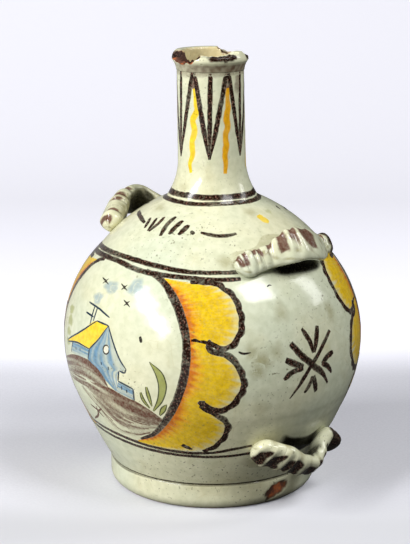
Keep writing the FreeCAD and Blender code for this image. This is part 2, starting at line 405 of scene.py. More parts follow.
def glaze_material():
    """Pale tin glaze with stains, specks, pits and crackle. Paint and clay follow each point's values."""
    material = bpy.data.materials.new("tin_glaze_painted")
    material.use_nodes = True
    tree = Tree(material)
    shader = tree.nodes["Principled BSDF"]
    where = tree.add("ShaderNodeTexCoord").outputs["Object"]

    tone = tree.blotches(where, *TONE)
    colour = tree.mix(tone, GLAZE_GREEN, GLAZE_CREAM)
    stain = tree.blotches(where, *STAINED)
    colour = tree.mix(tree.times(stain, STAIN_STRENGTH), colour, GLAZE_STAIN)
    mottle = tree.blotches(where, *MOTTLED)
    colour = tree.mix(mottle, colour, MOTTLE_TINT, "MULTIPLY")
    cells = {"Vector": where, "Scale": CRACKLE_SCALE}
    crackle = tree.add("ShaderNodeTexVoronoi", cells, feature="DISTANCE_TO_EDGE")
    line = tree.between(crackle.outputs["Distance"], CRACKLE_WIDTH, 0.0)
    patchy = tree.blotches(where, *CRACKLED)
    line = tree.times(tree.times(line, patchy), CRACKLE_STRENGTH)
    colour = tree.mix(line, colour, GLAZE_STAIN)

    bare = tree.value("clay")
    clay = tree.mix(tree.blotches(where, *CLAY_MIXED), CLAY_DARK, CLAY_LIGHT)
    colour = tree.mix(bare, colour, clay)
    cover = tree.value("cover")
    grainy = tree.value("grain")
    ragged = tree.minus(tree.noise(where, *RAGGED_NOISE), 0.5)
    ragged = tree.times(ragged, tree.plus(tree.times(grainy, GRAIN_RAGGEDNESS), EDGE_RAGGEDNESS))
    edge = tree.times(cover, tree.minus(FULL_EDGE, cover))
    cover = tree.plus(cover, tree.times(ragged, edge))
    cover.node.use_clamp = True
    pigment = tree.value("pigment", "Color")
    uneven = tree.blotches(where, *BRUSHED)
    pigment = tree.mix(uneven, pigment, tree.mix(1.0, pigment, BRUSH_TINT, "MULTIPLY"))
    grain = tree.blotches(where, *GRAINED)
    pigment = tree.mix(tree.times(grain, grainy), pigment, MAUVE)
    colour = tree.mix(cover, colour, pigment)

    dirt_and_shade = tree.blotches(where, *DIRTY)
    speck = tree.blotches(where, *SPECKLED)
    speck = tree.times(tree.times(speck, dirt_and_shade), SPECK_STRENGTH)
    colour = tree.mix(speck, colour, SPECK)
    pits = tree.add("ShaderNodeTexVoronoi", {"Vector": where, "Scale": PIT_SCALE})
    pit_choice = tree.add("ShaderNodeSeparateColor", {"Color": pits.outputs["Color"]}).outputs[0]
    pit = tree.between(pits.outputs["Distance"], *PIT_EDGES)
    pit = tree.times(pit, tree.between(pit_choice, *PIT_CHOICES))
    colour = tree.mix(pit, colour, SPECK)

    tree.put(shader.inputs["Base Color"], colour)
    shine = tree.minus(GLAZE_SHINE, tree.times(cover, PAINT_SHINE_LOSS))
    tree.put(shader.inputs["Specular IOR Level"], shine)

    gloss = tree.times(tree.noise(where, *GLOSS_NOISE), GLAZE_ROUGHNESS_NOISE)
    matt = tree.times(bare, CLAY_ROUGHNESS)
    rough = tree.plus(tree.plus(gloss, GLAZE_ROUGHNESS), matt)
    tree.put(shader.inputs["Roughness"], rough)

    waviness = tree.noise(where, *WAVY_NOISE)
    gritty = tree.plus(tree.times(bare, CLAY_GRIT), GLAZE_GRIT)
    grit = tree.times(tree.noise(where, *GRIT_NOISE), gritty)
    height = tree.minus(tree.plus(waviness, grit), pit)
    bump = tree.add("ShaderNodeBump", {"Height": height, "Strength": BUMP_STRENGTH, "Distance": BUMP_METRES})
    tree.put(shader.inputs["Normal"], bump.outputs["Normal"])
    return material


# Vessel pieces, turned about the axis
TURN_STEPS = 360
TURN_ANGLES = np.radians(np.arange(TURN_STEPS) * 360 / TURN_STEPS)
SKIN_STEP = 0.9


def inside_rings(points):
    """Rings of the unseen inner faces, from (radius, height) points."""
    points = np.asarray(points)
    radius = points[:, :1]
    height = np.broadcast_to(points[:, 1:], (len(points), TURN_STEPS))
    return turned(radius, TURN_ANGLES, height) + lean_at(height)


def turned_piece(node, inner, poles=()):
    """One thrown piece: its stretch of the skin, closed by inner rings, or by poles on the axis."""
    start, end = run_at(SECTIONS[node][0, 1]), run_at(SECTIONS[node][-1, 1])
    runs = np.linspace(start, end, int((end - start) / SKIN_STEP) + 2)
    angle, run = np.meshgrid(TURN_ANGLES, runs)
    rings = np.concatenate((skin(angle, run), inside_rings(inner)))
    normals = np.full((rings.shape[0] * TURN_STEPS + len(poles), 3), np.nan)
    normals[:angle.size] = skin_normal(angle, run).reshape(-1, 3)
    points = rings.reshape(-1, 3)
    faces = lattice(len(rings), TURN_STEPS, not poles, True).tolist()
    if poles:
        points = np.vstack((points, [(0, 0, height) for height in poles]))
        first = np.arange(TURN_STEPS)[::-1]
        last = np.arange(TURN_STEPS) + (len(rings) - 1) * TURN_STEPS
        faces += fan(first, len(points) - 2).tolist() + fan(last, len(points) - 1).tolist()
    return new_piece(node, points, faces, normals=normals)


WALL = 5.5
DOME_WALL = 7.5
DOME_CROWN = 4.5
FLOOR_THICKNESS = 6.5
FLOOR_HEIGHT = FOOT_TOP + FLOOR_THICKNESS
FLOOR_RADIUS = 42.0
BOWL_INNER_ARC = 60.0
BELLY_INNER_LOW_ARC = 68.0
BELLY_INNER_HIGH_ARC = 57.5
DOME_INNER_ARC = 80.0
NECK_INNER_STEPS = 40


def build_vessel(glaze):
    bowl_joint = (BOWL_TOP[0] - WALL, BOWL_TOP[1])
    widest = (WIDEST[0] - WALL, WIDEST[1])
    belly_joint = (BELLY_TOP[0] - DOME_WALL, BELLY_TOP[1])
    crown = (BORE_RADIUS, DOME_TOP[1] - DOME_CROWN)
    neck_heights = np.linspace(NECK_TOP[1], DOME_TOP[1], NECK_INNER_STEPS)
    bowl_inside = arc(bowl_joint, (FLOOR_RADIUS, FLOOR_HEIGHT), BOWL_INNER_ARC, -1, steps=24)
    insides = {
        "belly_wall": np.vstack((arc(belly_joint, widest, BELLY_INNER_HIGH_ARC, -1, steps=30),
                                 arc(widest, bowl_joint, BELLY_INNER_LOW_ARC, -1, steps=20)[1:])),
        "shoulder_dome": np.vstack((np.array(((BORE_RADIUS, DOME_TOP[1]),)),
                                    arc(crown, belly_joint, DOME_INNER_ARC, -1, steps=30))),
        "neck_tube": np.stack((np.full(NECK_INNER_STEPS, BORE_RADIUS), neck_heights), axis=1),
    }
    finish_piece(turned_piece("lower_bowl", bowl_inside, (FOOT_TOP, FLOOR_HEIGHT)), glaze, "lower_bowl")
    for node, inside in insides.items():
        finish_piece(turned_piece(node, inside), glaze, node)


# Foot ring, with a chip that shows the clay
FOOT_REST_RADIUS = 50.0
FOOT_HOLLOW_RADIUS = 41.0
FOOT_HOLLOW_BEVEL = 1.0
FOOT_EDGE_HEIGHT = 4.5
FOOT_EDGE_ARC = 6.0
FOOT_TOP_ROUND = 0.9
FOOT_CHIP_PIXEL = (279, 488)
FOOT_CHIP_HALF_WIDTH = 7.6
FOOT_CHIP_HALF_HEIGHT = 3.6
FOOT_CHIP_DEPTH = 1.1
FOOT_CHIP_SLOPE = 0.38
FOOT_CHIP_RAGGED = 0.22
FOOT_INSET = 0.25
FOOT_UNEVENNESS = 0.12
FOOT_WAVES = (6, 30.0)
FOOT_CHIP_WAVES = (8, 5.0)
FOOT_WORN_HEIGHT = 0.7
FOOT_SEAM_HEIGHT = 0.75
FOOT_SEAM_FADE = 0.4
FOOT_STEPS = 10
FOOT_SIDE_STEPS = 8
FOOT_ROUND_STEPS = 5
SEAM_BROWN = (0.030, 0.020, 0.010)


def turned_off(angle, middle):
    """Angle from a middle, between minus and plus half a turn."""
    return np.angle(np.exp(1j * (angle - middle)))


def foot_outline():
    """Radius and height of points along the resting face, up the outside, over the top and down inside."""
    rest_radius = np.linspace(FOOT_HOLLOW_RADIUS + FOOT_HOLLOW_BEVEL, FOOT_REST_RADIUS, FOOT_STEPS)
    side_height = np.linspace(FOOT_EDGE_HEIGHT, FOOT_TOP - FOOT_TOP_ROUND, FOOT_SIDE_STEPS)
    side = np.stack((np.full(FOOT_SIDE_STEPS, FOOT_RADIUS), side_height), axis=1)
    top_edge = (FOOT_RADIUS - FOOT_TOP_ROUND, FOOT_TOP)
    hollow = [(FOOT_HOLLOW_RADIUS, height) for height in (FOOT_TOP, FOOT_TOP / 2, FOOT_HOLLOW_BEVEL)]
    return np.vstack((
        np.stack((rest_radius, np.zeros(FOOT_STEPS)), axis=1),
        arc((FOOT_REST_RADIUS, 0), (FOOT_RADIUS, FOOT_EDGE_HEIGHT), FOOT_EDGE_ARC, 1, FOOT_STEPS)[1:],
        side[1:],
        arc(side[-1], top_edge, FOOT_TOP_ROUND, 1, FOOT_ROUND_STEPS)[1:],
        np.array(hollow)))


def build_foot(glaze):
    outline = foot_outline()
    angle = np.broadcast_to(TURN_ANGLES, (len(outline), TURN_STEPS))
    radius = np.broadcast_to(outline[:, :1], angle.shape)
    height = np.broadcast_to(outline[:, 1:], angle.shape)
    uneven = waves(*FOOT_WAVES)(angle * FOOT_RADIUS, height)
    outside = unit((radius - FOOT_REST_RADIUS) / (FOOT_RADIUS - FOOT_REST_RADIUS))
    off = turned_off(angle, on_skin(*FOOT_CHIP_PIXEL)[0]) * FOOT_RADIUS
    rough = waves(*FOOT_CHIP_WAVES)(off, height)
    rise = (height - FOOT_TOP / 2 - FOOT_CHIP_SLOPE * off) / FOOT_CHIP_HALF_HEIGHT
    chip = 1 - (off / FOOT_CHIP_HALF_WIDTH)**2 - rise**2
    chip = unit(chip + FOOT_CHIP_RAGGED * rough) * outside
    radius = radius - outside * (FOOT_INSET - FOOT_UNEVENNESS * uneven) - FOOT_CHIP_DEPTH * np.sqrt(chip)
    points = turned(radius, angle, height).reshape(-1, 3)
    resting = unit(1 - height / FOOT_WORN_HEIGHT)
    clay = unit(np.maximum(chip * 3.5, resting * 0.9))
    seam = unit((height - FOOT_TOP + FOOT_SEAM_HEIGHT + 0.15 * uneven) / FOOT_SEAM_FADE) * outside
    # The outer part of the chip is darker, a brown ring round its orange clay
    chip_edge = unit(chip * 8) * unit(1.25 - 1.9 * chip + 0.3 * rough)
    values = {
        "clay": clay.ravel(),
        "cover": np.maximum(0.75 * seam, 0.85 * chip_edge).ravel(),
        "pigment": np.tile(SEAM_BROWN, (radius.size, 1)),
    }
    piece = new_piece("foot_ring", points, lattice(*angle.shape, True, True), values)
    finish_piece(piece, glaze, "foot_ring")


# Colours of the paint and dirt, and of painted shade
MANGANESE = (0.017, 0.0050, 0.0020)
CHIP_BROWN = (0.036, 0.011, 0.004)
# Brown wash with painted shade, under the rim and on the top of the neck
UNDER_RIM_WASH_AND_SHADE = (0.095, 0.045, 0.022)
MOUTH_STAIN = (0.60, 0.44, 0.18)
LOOP_BROWN = (0.15, 0.070, 0.048)
# Near-black painted shade under and inside the loops, dark as grime
GRIME_AND_SHADE = (0.012, 0.010, 0.005)
TARNISH = (0.27, 0.235, 0.075)
LEMON = (0.92, 0.66, 0.03)
GOLD = (0.82, 0.55, 0.012)
AMBER = (0.84, 0.42, 0.010)
ORANGE = (0.64, 0.175, 0.004)
BLUE = (0.125, 0.275, 0.43)
DEEP_BLUE = (0.018, 0.040, 0.070)
LEAF = (0.29, 0.32, 0.045)
LEAF_DARK = (0.06, 0.07, 0.02)
HILL = (0.115, 0.040, 0.022)
SOOT = (0.022, 0.017, 0.015)
MEDALLION_WHITE = (0.84, 0.83, 0.70)


# Lip, with the breaks of the clay solid, painted daubs on the rim and a stained mouth
LIP_BULGE = (LIP_RADIUS, NECK_TOP[1] + 5.0)
LIP_TOP_RADIUS = 17.0
LIP_INNER_ROUND = 1.4
LIP_UNDER_ARC = 9.0
LIP_ROLL_ARC = 5.5
LIP_LEAST_EDGE = 0.8
LIP_LEAST_TOP = 0.6
LIP_INSET = 0.2
LIP_UNEVENNESS = 0.12
LIP_WAVES = (6, 25.0)
LIP_GRIT_WAVES = (14, 3.2)
LIP_PAINT_WAVES = (8, 4.0)
LIP_INNER_BAND = 1.5
LIP_BREAKS = (
    # angle, half length round the rim, reach inward, depth, bareness of the clay
    (-95.0, 11.0, 6.7, 6.0, 1.0),
    (72.0, 15.0, 10.5, 3.6, 0.5),
    (-37.0, 14.0, 9.0, 2.2, 0.0),
)
LIP_DAUBS = (
    # middle angle, half length in degrees
    (-25.0, 24.0), (34.0, 9.0), (152.0, 22.0), (196.0, 9.0), (228.0, 11.0),
)
DAUB_HEIGHT = 2.2
DAUB_HALF_HEIGHT = 1.9
UNDER_BAND_DROP = 0.2
UNDER_BAND_FADE = 1.6
MOUTH_STAIN_WIDTH = 1.2
MOUTH_STAIN_FADE = 0.8
CHIP_SPLIT_RADIUS = 15.5
CHIP_SPLIT_FADE = 1.2
LIP_DARKEST_ANGLE = -10.0
LIP_STEPS = 540
LIP_ANGLES = np.radians(np.arange(LIP_STEPS) * 360 / LIP_STEPS)
LIP_WALL_STEPS = 12
LIP_TOP_STEPS = 22
LIP_BORE_STEPS = 6
LIP_ARC_STEPS = 40


def whole_top(radius, roll):
    """Height of the unbroken rim at a radius."""
    rolled = np.interp(radius, roll[::-1, 0], roll[::-1, 1])
    inner = unit((BORE_RADIUS + LIP_INNER_ROUND - radius) / LIP_INNER_ROUND)
    return rolled - LIP_INNER_ROUND * (1 - np.sqrt(1 - inner**2))


def broken_top(turn, radius, gritty):
    """Height of the breaks' floor, above the rim where nothing is broken, and the bareness of its clay."""
    low = np.full(np.broadcast(turn, radius).shape, LIP_TOP + 1)
    share = np.zeros(low.shape)
    for middle, across, inward, deep, bareness in LIP_BREAKS:
        off = turned_off(turn, math.radians(middle)) * LIP_TOP_RADIUS
        hollow = 1 - (off / across)**2 - ((radius - LIP_TOP_RADIUS) / inward)**2
        rough = (0.15 + 0.30 * bareness) * gritty(off, radius * 1.4)
        floor = LIP_TOP - deep * np.sqrt(np.abs(hollow)) + rough
        deeper = (hollow > 0) & (floor < low)
        low = np.where(deeper, floor, low)
        share = np.where(deeper, bareness, share)
    return low, share


def lip_form():
    """Radius, height and bareness of the lip's rings, up the outside, over the rim and down inside."""
    under = arc(NECK_TOP, LIP_BULGE, LIP_UNDER_ARC, -1, LIP_ARC_STEPS)
    roll = arc(LIP_BULGE, (LIP_TOP_RADIUS, LIP_TOP), LIP_ROLL_ARC, 1, LIP_ARC_STEPS)
    gritty = waves(*LIP_GRIT_WAVES)
    edge_height = np.empty(LIP_STEPS)
    for number, turn in enumerate(LIP_ANGLES):
        over = under[:, 1] > broken_top(turn, under[:, 0], gritty)[0]
        edge_height[number] = under[np.argmax(over), 1] if over.any() else LIP_BULGE[1]
    edge_height = np.maximum(edge_height, NECK_TOP[1] + LIP_LEAST_EDGE)
    edge_radius = np.interp(edge_height, under[:, 1], under[:, 0])
    share = np.linspace(0, 1, LIP_WALL_STEPS)[:, None]
    wall_height = NECK_TOP[1] + share * (edge_height - NECK_TOP[1])
    wall_radius = np.interp(wall_height, under[:, 1], under[:, 0])
    share = np.sin(np.linspace(0, 1, LIP_TOP_STEPS)[1:, None] * math.pi / 2)**2
    top_radius = edge_radius + share * (BORE_RADIUS - edge_radius)
    intact = whole_top(top_radius, roll)
    broken, bareness = broken_top(LIP_ANGLES, top_radius, gritty)
    top_height = np.maximum(np.minimum(intact, broken), NECK_TOP[1] + LIP_LEAST_TOP)
    share = np.linspace(1, 0, LIP_BORE_STEPS)[1:, None]
    bore_height = NECK_TOP[1] + share * (top_height[-1] - NECK_TOP[1])
    radius = np.vstack((wall_radius, top_radius, np.full(bore_height.shape, BORE_RADIUS)))
    height = np.vstack((wall_height, top_height, bore_height))
    bare = np.zeros(radius.shape)
    bare[LIP_WALL_STEPS:-len(bore_height)] = unit((intact - broken) * 2.5) * bareness
    return radius, height, bare


def lip_paint(turn, radius, height, bare):
    """Values of the lip's points: a brown wash with painted shade under the rim, darker towards one side,
    stained mouth, burnt clay and daubs.
    """
    ragged = waves(*LIP_PAINT_WAVES)(turn * LIP_RADIUS, height)
    outer = radius > BORE_RADIUS + LIP_INNER_BAND
    daub = np.zeros(radius.shape)
    for middle, half in LIP_DAUBS:
        off = np.abs(turned_off(turn, math.radians(middle))) / math.radians(half)
        across = np.abs(height - LIP_BULGE[1] - DAUB_HEIGHT) / DAUB_HALF_HEIGHT
        daub = np.maximum(daub, unit((1.3 - off**2 - across**2 + 0.3 * ragged) * 2) * outer)
    darker_side = 0.5 + 0.5 * np.cos(turn - math.radians(LIP_DARKEST_ANGLE))
    # Painted shade with a brown wash: a dark band on the underside of the rim, darker towards one side
    under_rim_wash_and_shade = unit((LIP_BULGE[1] - UNDER_BAND_DROP - height) / UNDER_BAND_FADE) * outer
    under_rim_wash_and_shade = under_rim_wash_and_shade * (0.30 + 0.5 * darker_side) * (1 + 0.12 * ragged)
    mouth = 0.6 * unit((BORE_RADIUS + MOUTH_STAIN_WIDTH - radius) / MOUTH_STAIN_FADE + 0.4 * ragged)
    burnt = unit((CHIP_SPLIT_RADIUS - radius) / CHIP_SPLIT_FADE + 0.6 * ragged) * (bare > 0.3)
    cover = np.zeros(radius.shape)
    pigment = np.zeros((*radius.shape, 3))
    layers = ((under_rim_wash_and_shade, UNDER_RIM_WASH_AND_SHADE), (mouth, MOUTH_STAIN), (burnt, CHIP_BROWN), (daub, MANGANESE))
    for amount, colour in layers:
        pigment = np.where((amount >= cover)[..., None], colour, pigment)
        cover = np.maximum(cover, amount)
    return {
        "clay": bare.ravel(),
        "cover": unit(cover).ravel(),
        "grain": (0.7 * (daub > 0.3)).ravel(),
        "pigment": pigment.reshape(-1, 3),
    }


def build_lip(glaze):
    radius, height, bare = lip_form()
    turn = np.broadcast_to(LIP_ANGLES, radius.shape)
    slight = LIP_UNEVENNESS * waves(*LIP_WAVES)(turn * LIP_RADIUS, height) - LIP_INSET
    radius = radius + slight * unit((radius - BORE_RADIUS) / (LIP_RADIUS - BORE_RADIUS))
    points = (turned(radius, turn, height) + lean_at(height)).reshape(-1, 3)
    values = lip_paint(turn, radius, height, bare)
    piece = new_piece("lip_ring", points, lattice(*radius.shape, True, True), values)
    finish_piece(piece, glaze, "lip_ring")


# Painted films: thin closed shells that follow the skin
FILM_ROOT = 0.12
WASH_LIFT = 0.030
FIELD_LIFT = 0.045
LINE_LIFT = 0.070
KNOT_LIFT = 0.105
BRUSH_STEP = 0.6
BEAD_PITCH = 6.2
FIRM_BRUSH = (0.72, 1.0, 1.0, 1.0, 0.72)
SOFT_BRUSH = (0.0, 0.75, 1.0, 0.75, 0.0)
LAYER_STEP = 0.0004
LAYER_CYCLE = 40
RIM_SINK = 0.004
START_TAPER = 0.22
END_TAPER = 0.30
BEAD_WANDER = 14.0
EDGE_WANDER = 2.2
LOAD_WANDER = 7.0
LOAD_UNEVENNESS = 0.12
BEAD_PUSHES = (-0.35, 1.0)
BLOT_STEPS = 11
BLOT_LOBES = (
    # swell, count of lobes
    (0.12, 3), (0.08, 5),
)
ANY_PHASE = 6.3


def smooth(path, step=BRUSH_STEP, count=None):
    """Points along a smooth curve through a path on the skin, evenly spaced or a given count."""
    path = np.asarray(path, float)
    scale = np.stack((np.full(len(path), radius_at(path[:, 1]).mean()), np.ones(len(path))), axis=1)
    knots = np.concatenate(((0.0,), np.cumsum(np.hypot(*np.diff(path * scale, axis=0).T))))
    slopes = np.gradient(path, knots, axis=0)
    count = count or max(int(knots[-1] / step) + 1, 5)
    where = np.linspace(0, knots[-1], count)
    left = np.clip(np.searchsorted(knots, where, side="right") - 1, 0, len(path) - 2)
    span = (knots[left + 1] - knots[left])[:, None]
    part = ((where - knots[left])[:, None]) / span
    return ((2 * part**3 - 3 * part**2 + 1) * path[left]
            + (part**3 - 2 * part**2 + part) * span * slopes[left]
            + (3 * part**2 - 2 * part**3) * path[left + 1]
            + (part**3 - part**2) * span * slopes[left + 1])


def wander(count, width):
    """Smooth random values, about -1 to 1, for the points of a brush stroke."""
    knots = max(int(count * BRUSH_STEP / width) + 3, 4)
    values = rng.uniform(-1, 1, knots)
    return np.interp(np.linspace(0, knots - 1, count), np.arange(knots), values)


class Film:
    """Painted shapes gathered into one mesh."""

    def __init__(self):
        self.points = []
        self.faces = []
        self.values = {"pigment": [], "cover": [], "grain": []}
        self.normals = []
        self.count = 0
        self.layers = 0

    def add(self, path, lift, pigment, cover, grain):
        """A grid of (angle, run) points, lifted off the skin inside and rooted in it at the rim."""
        rows, columns = path.shape[:2]
        self.layers += 1
        height = np.full((rows, columns), lift + LAYER_STEP * (self.layers % LAYER_CYCLE))
        height[[0, -1]] = -RIM_SINK
        height[:, [0, -1]] = -RIM_SINK
        base = skin(path[..., 0], path[..., 1])
        normal = skin_normal(path[..., 0], path[..., 1])
        top = base + height[..., None] * normal
        root = base - FILM_ROOT * normal
        size = rows * columns
        index = np.arange(size).reshape(rows, columns)
        rim = np.concatenate((index[0, :-1], index[:-1, -1], index[-1, :0:-1], index[:0:-1, 0]))
        after = np.roll(rim, -1)
        cells = lattice(rows, columns)
        walls = np.stack((after, rim, rim + size, after + size), axis=-1)
        quads = np.vstack((cells, cells[:, ::-1] + size, walls))
        row, column = rows // 2 - 1, columns // 2 - 1
        turn = np.cross(base[row, column + 1] - base[row, column], base[row + 1, column] - base[row, column])
        if turn @ normal[row, column] < 0:
            quads = quads[:, ::-1]
        self.faces += (quads + self.count).tolist()
        self.points += [top.reshape(-1, 3), root.reshape(-1, 3)]
        self.normals += [normal.reshape(-1, 3), np.full((size, 3), np.nan)]
        shape = (rows, columns)
        colours = np.broadcast_to(pigment, (*shape, 3)).reshape(-1, 3)
        for key, numbers in (("pigment", colours), ("cover", np.broadcast_to(cover, shape).ravel()),
                             ("grain", np.broadcast_to(grain, shape).ravel())):
            self.values[key] += [numbers, numbers]
        self.count += 2 * size

    def stroke(self, path, width, pigment=MANGANESE, taper=(0.55, 0.45), rough=0.13, grain=1.0, cover=1.0,
               lift=LINE_LIFT, bead=0.0, spread=FIRM_BRUSH):
        """One brush stroke along a path, with uneven edges, tapering ends and, where asked for, beads."""
        line = smooth(path)
        count = len(line)
        radius = radius_at(line[:, 1])
        across = np.gradient(line[:, 0]) * radius
        rise = np.gradient(line[:, 1])
        size = np.hypot(across, rise) + 1e-9
        share = np.linspace(0, 1, count)
        body = np.minimum(np.minimum(taper[0] + (1 - taper[0]) * share / START_TAPER,
                                     taper[1] + (1 - taper[1]) * (1 - share) / END_TAPER), 1)
        half = width / 2 * body
        beads = bead * np.abs(np.sin(math.pi * np.cumsum(size) / BEAD_PITCH + wander(count, BEAD_WANDER)))
        sides = [half * (1 + rough * wander(count, EDGE_WANDER)) + push * beads for push in BEAD_PUSHES]
        offsets = np.stack((-sides[0], -0.6 * half, 0 * half, 0.6 * half + 0.8 * beads, sides[1]), axis=1)
        grid = np.stack((line[:, :1] - offsets * (rise / size / radius)[:, None],
                         line[:, 1:] + offsets * (across / size)[:, None]), axis=-1)
        load = unit(cover * (1 + LOAD_UNEVENNESS * wander(count, LOAD_WANDER)))
        self.add(grid, lift, pigment, load[:, None] * np.array(spread), grain)

    def fill(self, first, second, rows, pigment, cover, grain=0.0, lift=WASH_LIFT, step=0.9):
        """A painted area between two paths. Pigment and cover are functions of share across and length."""
        length = max(len(smooth(first, step)), len(smooth(second, step)), 6)
        sides = smooth(first, count=length), smooth(second, count=length)
        share = np.linspace(0, 1, rows)[:, None]
        grid = sides[0] + share[..., None] * (sides[1] - sides[0])
        self.add(grid, lift, pigment(share, length), cover(share, length), grain)

    def blot(self, centre, half_wide, half_high, pigment, cover=0.7, grain=0.0, lift=WASH_LIFT, fade=2.4):
        """A soft round dab on the skin: a square lattice pressed into a wavy disc."""
        steps = np.linspace(-1, 1, BLOT_STEPS)
        across, along = np.meshgrid(steps, steps)
        wide = across * np.sqrt(1 - along**2 / 2)
        high = along * np.sqrt(1 - across**2 / 2)
        angle = np.arctan2(high, wide)
        wobble = 1
        for swell, lobes in BLOT_LOBES:
            wobble = wobble + swell * np.sin(lobes * angle + rng.uniform(0, ANY_PHASE))
        grid = np.stack((centre[0] + half_wide / radius_at(centre[1]) * wide * wobble,
                         centre[1] + half_high * high * wobble), axis=-1)
        self.add(grid, lift, pigment, cover * unit(fade * (1 - np.hypot(wide, high))), grain)

    def piece(self, name, glaze):
        values = {key: np.concatenate(parts) for key, parts in self.values.items()}
        points = np.concatenate(self.points)
        normals = np.concatenate(self.normals)
        finish_piece(new_piece(name, points, self.faces, values, normals), glaze)


def plain(colour):
    return lambda share, length: np.array(colour)


def even(amount):
    return lambda share, length: amount


# Cord loops: ribbed straps of clay, pressed on the wall at both ends
# Profile rows: place from -1 (front) to 1 (rear), lift off the wall, half face, half edge, shift upward.
# Patches are thumb marks filled with paint, each from one place to another. Some have a reach round the loop
# of their own, and one has its own colour.
SHOULDER_SEAT = (BELLY_TOP, DOME_TOP)
LOWER_SEAT = (BOWL_BASE, BOWL_TOP)
LOWER_LOOP = dict(
    seat=LOWER_SEAT, share=0.49, tilt=-42, slant=-7, half=29, ahead=3.5, flat=0.8,
    eye_side=1, eye_place=0.3, patch_side=-30, patch_reach=0.3, patch_pigment=MANGANESE, patch_load=1,
    profile=((-1, 2.6, 7, 4.6, 0), (-0.8, 4.4, 8.2, 4.8, 0), (-0.5, 8, 8.2, 4.2, 1.6),
             (-0.25, 10.8, 6.8, 4, 0.4), (0, 12.2, 6.4, 3.9, 0), (0.2, 10.2, 6, 4, 0),
             (0.4, 5, 6.2, 3.8, 1.6), (0.6, 3, 6.8, 4, 3.4), (0.82, 5.2, 6.8, 6.2, -0.6),
             (1, 5, 6.2, 5.6, -1.8)),
    patches=((-0.94, -0.77), (-0.74, -0.56), (-0.54, -0.42), (-0.39, -0.23), (-0.21, 0), (0.02, 0.13, 0),
             (0.16, 0.28, -0.2), (0.33, 0.42, -0.1), (0.6, 1, -0.95)))
LOOP_SIZES = {
    "right_shoulder_loop": dict(
        seat=SHOULDER_SEAT, share=0.17, yaw=0, tilt=32, slant=1, half=33, ahead=0, flat=0.75, eye_side=-1,
        eye_place=0.85, patch_side=52, patch_reach=0.38, patch_pigment=LOOP_BROWN, patch_load=0.95,
        profile=((-1, 2.6, 5.4, 4, 0), (-0.82, 3, 6.6, 4.6, -0.4), (-0.64, 3.6, 5.6, 4, -0.4),
                 (-0.48, 5, 5.8, 3.6, -0.6), (-0.3, 11.6, 8.6, 3.2, 0.2), (-0.12, 12.8, 8.8, 3.2, 0),
                 (0.1, 11.4, 8.2, 3.2, -1.6), (0.35, 7.4, 7.4, 3.2, -2.6), (0.56, 4.2, 6, 3.2, -2.6),
                 (0.68, 3, 4.4, 3, -1), (0.82, 3.6, 6.2, 4.8, 0), (1, 2.6, 5.6, 4.2, 0)),
        patches=((-0.97, -0.9), (-0.86, -0.8), (-0.76, -0.7), (-0.66, -0.59), (-0.53, -0.45), (-0.41, -0.32),
                 (-0.28, -0.17), (-0.13, 0.1, 0.2), (0.64, 0.71), (0.76, 1, -0.9, MANGANESE))),
    "left_shoulder_loop": dict(
        seat=SHOULDER_SEAT, share=0.28, yaw=180, tilt=34, slant=2, half=30, ahead=2, flat=0.75, eye_side=-1,
        eye_place=0.85, patch_side=15, patch_reach=0.1, patch_pigment=LOOP_BROWN, patch_load=0.95,
        profile=((-1, 3.4, 5.6, 4.6, 1), (-0.84, 4, 6.2, 5.4, 1), (-0.68, 4.4, 7.2, 5.2, -0.8),
                 (-0.5, 6.6, 9.8, 6.4, -3.4), (-0.25, 11.4, 11.2, 5.2, -3.2), (0.02, 13.2, 10, 3.4, -1.2),
                 (0.18, 11.6, 9.4, 3.4, -0.6), (0.36, 6, 7.6, 3.4, 0), (0.48, 3.8, 6, 3.4, 0.5),
                 (0.62, 5.4, 6.2, 4.8, 2), (0.8, 4, 6, 4.4, 1), (1, 2.6, 5.6, 4.2, 0.5)),
        patches=((-0.98, -0.9), (-0.82, -0.74), (-0.52, -0.44), (-0.36, -0.27), (-0.19, -0.1), (0.52, 0.58),
                 (0.64, 0.72))),
    "right_lower_loop": dict(LOWER_LOOP, yaw=0),
    "left_lower_loop": dict(LOWER_LOOP, yaw=180),
}
COIL_TIP_SHARE = 0.16
PAD_SHARE = 0.62
THUMB_DEPTH = 0.95
LOOP_ROWS = 190
LOOP_COLUMNS = 64
LOOP_SAG = 0.25
LOOP_SAG_WAVES = (3, 25.0)
LOOP_LUMPS = 0.03
LOOP_LUMP_WAVES = (7, 16.0)
LOOP_SMEAR_WAVES = (9, 5.0)
TIP_LEAST = 0.004
MARK_BEND = 0.02
MARK_SPREAD = (-0.15, 0.2)
EYE_LEAST_GAP = 1.0
EYE_GAP_FADE = 3.0
WALL_SEARCH = (-25.0, 15.0)
WALL_SEARCH_ROUNDS = 40
EASE_SPAN = 1.3
EASE_STEPS = 521
EASE_WINDOW = 41
GRIME_AND_SHADE_COVER = 0.92
SHADE_GRIME_AND_TARNISH_ROWS = 18
SHADE_GRIME_AND_TARNISH_STRIDE = 8
SHADE_GRIME_AND_TARNISH_FADE = 2.6
# Marks on the wall beside each loop: first painted shade, a near-black sheet dark as grime where the strap's
# shadow falls, then an olive tarnish
LOOP_SHADE_GRIME_AND_TARNISH = (
    # near and far edge in half faces from the eye's place, colour, cover, first and last place along it
    (-1.1, 0.6, GRIME_AND_SHADE, 1.0, -0.50, 0.60),
    (-2.2, -1.5, TARNISH, 0.34, -0.95, 0.20),
)


def wall_offset(start, out):
    """Distance along out from start to the vessel's outer face."""
    low, high = WALL_SEARCH
    for _ in range(WALL_SEARCH_ROUNDS):
        middle = (low + high) / 2
        point = start + middle * out
        inside = math.hypot(point[0], point[1]) < np.interp(point[2], OUTLINE[:, 1], OUTLINE[:, 0])
        low, high = (middle, high) if inside else (low, middle)
    return low


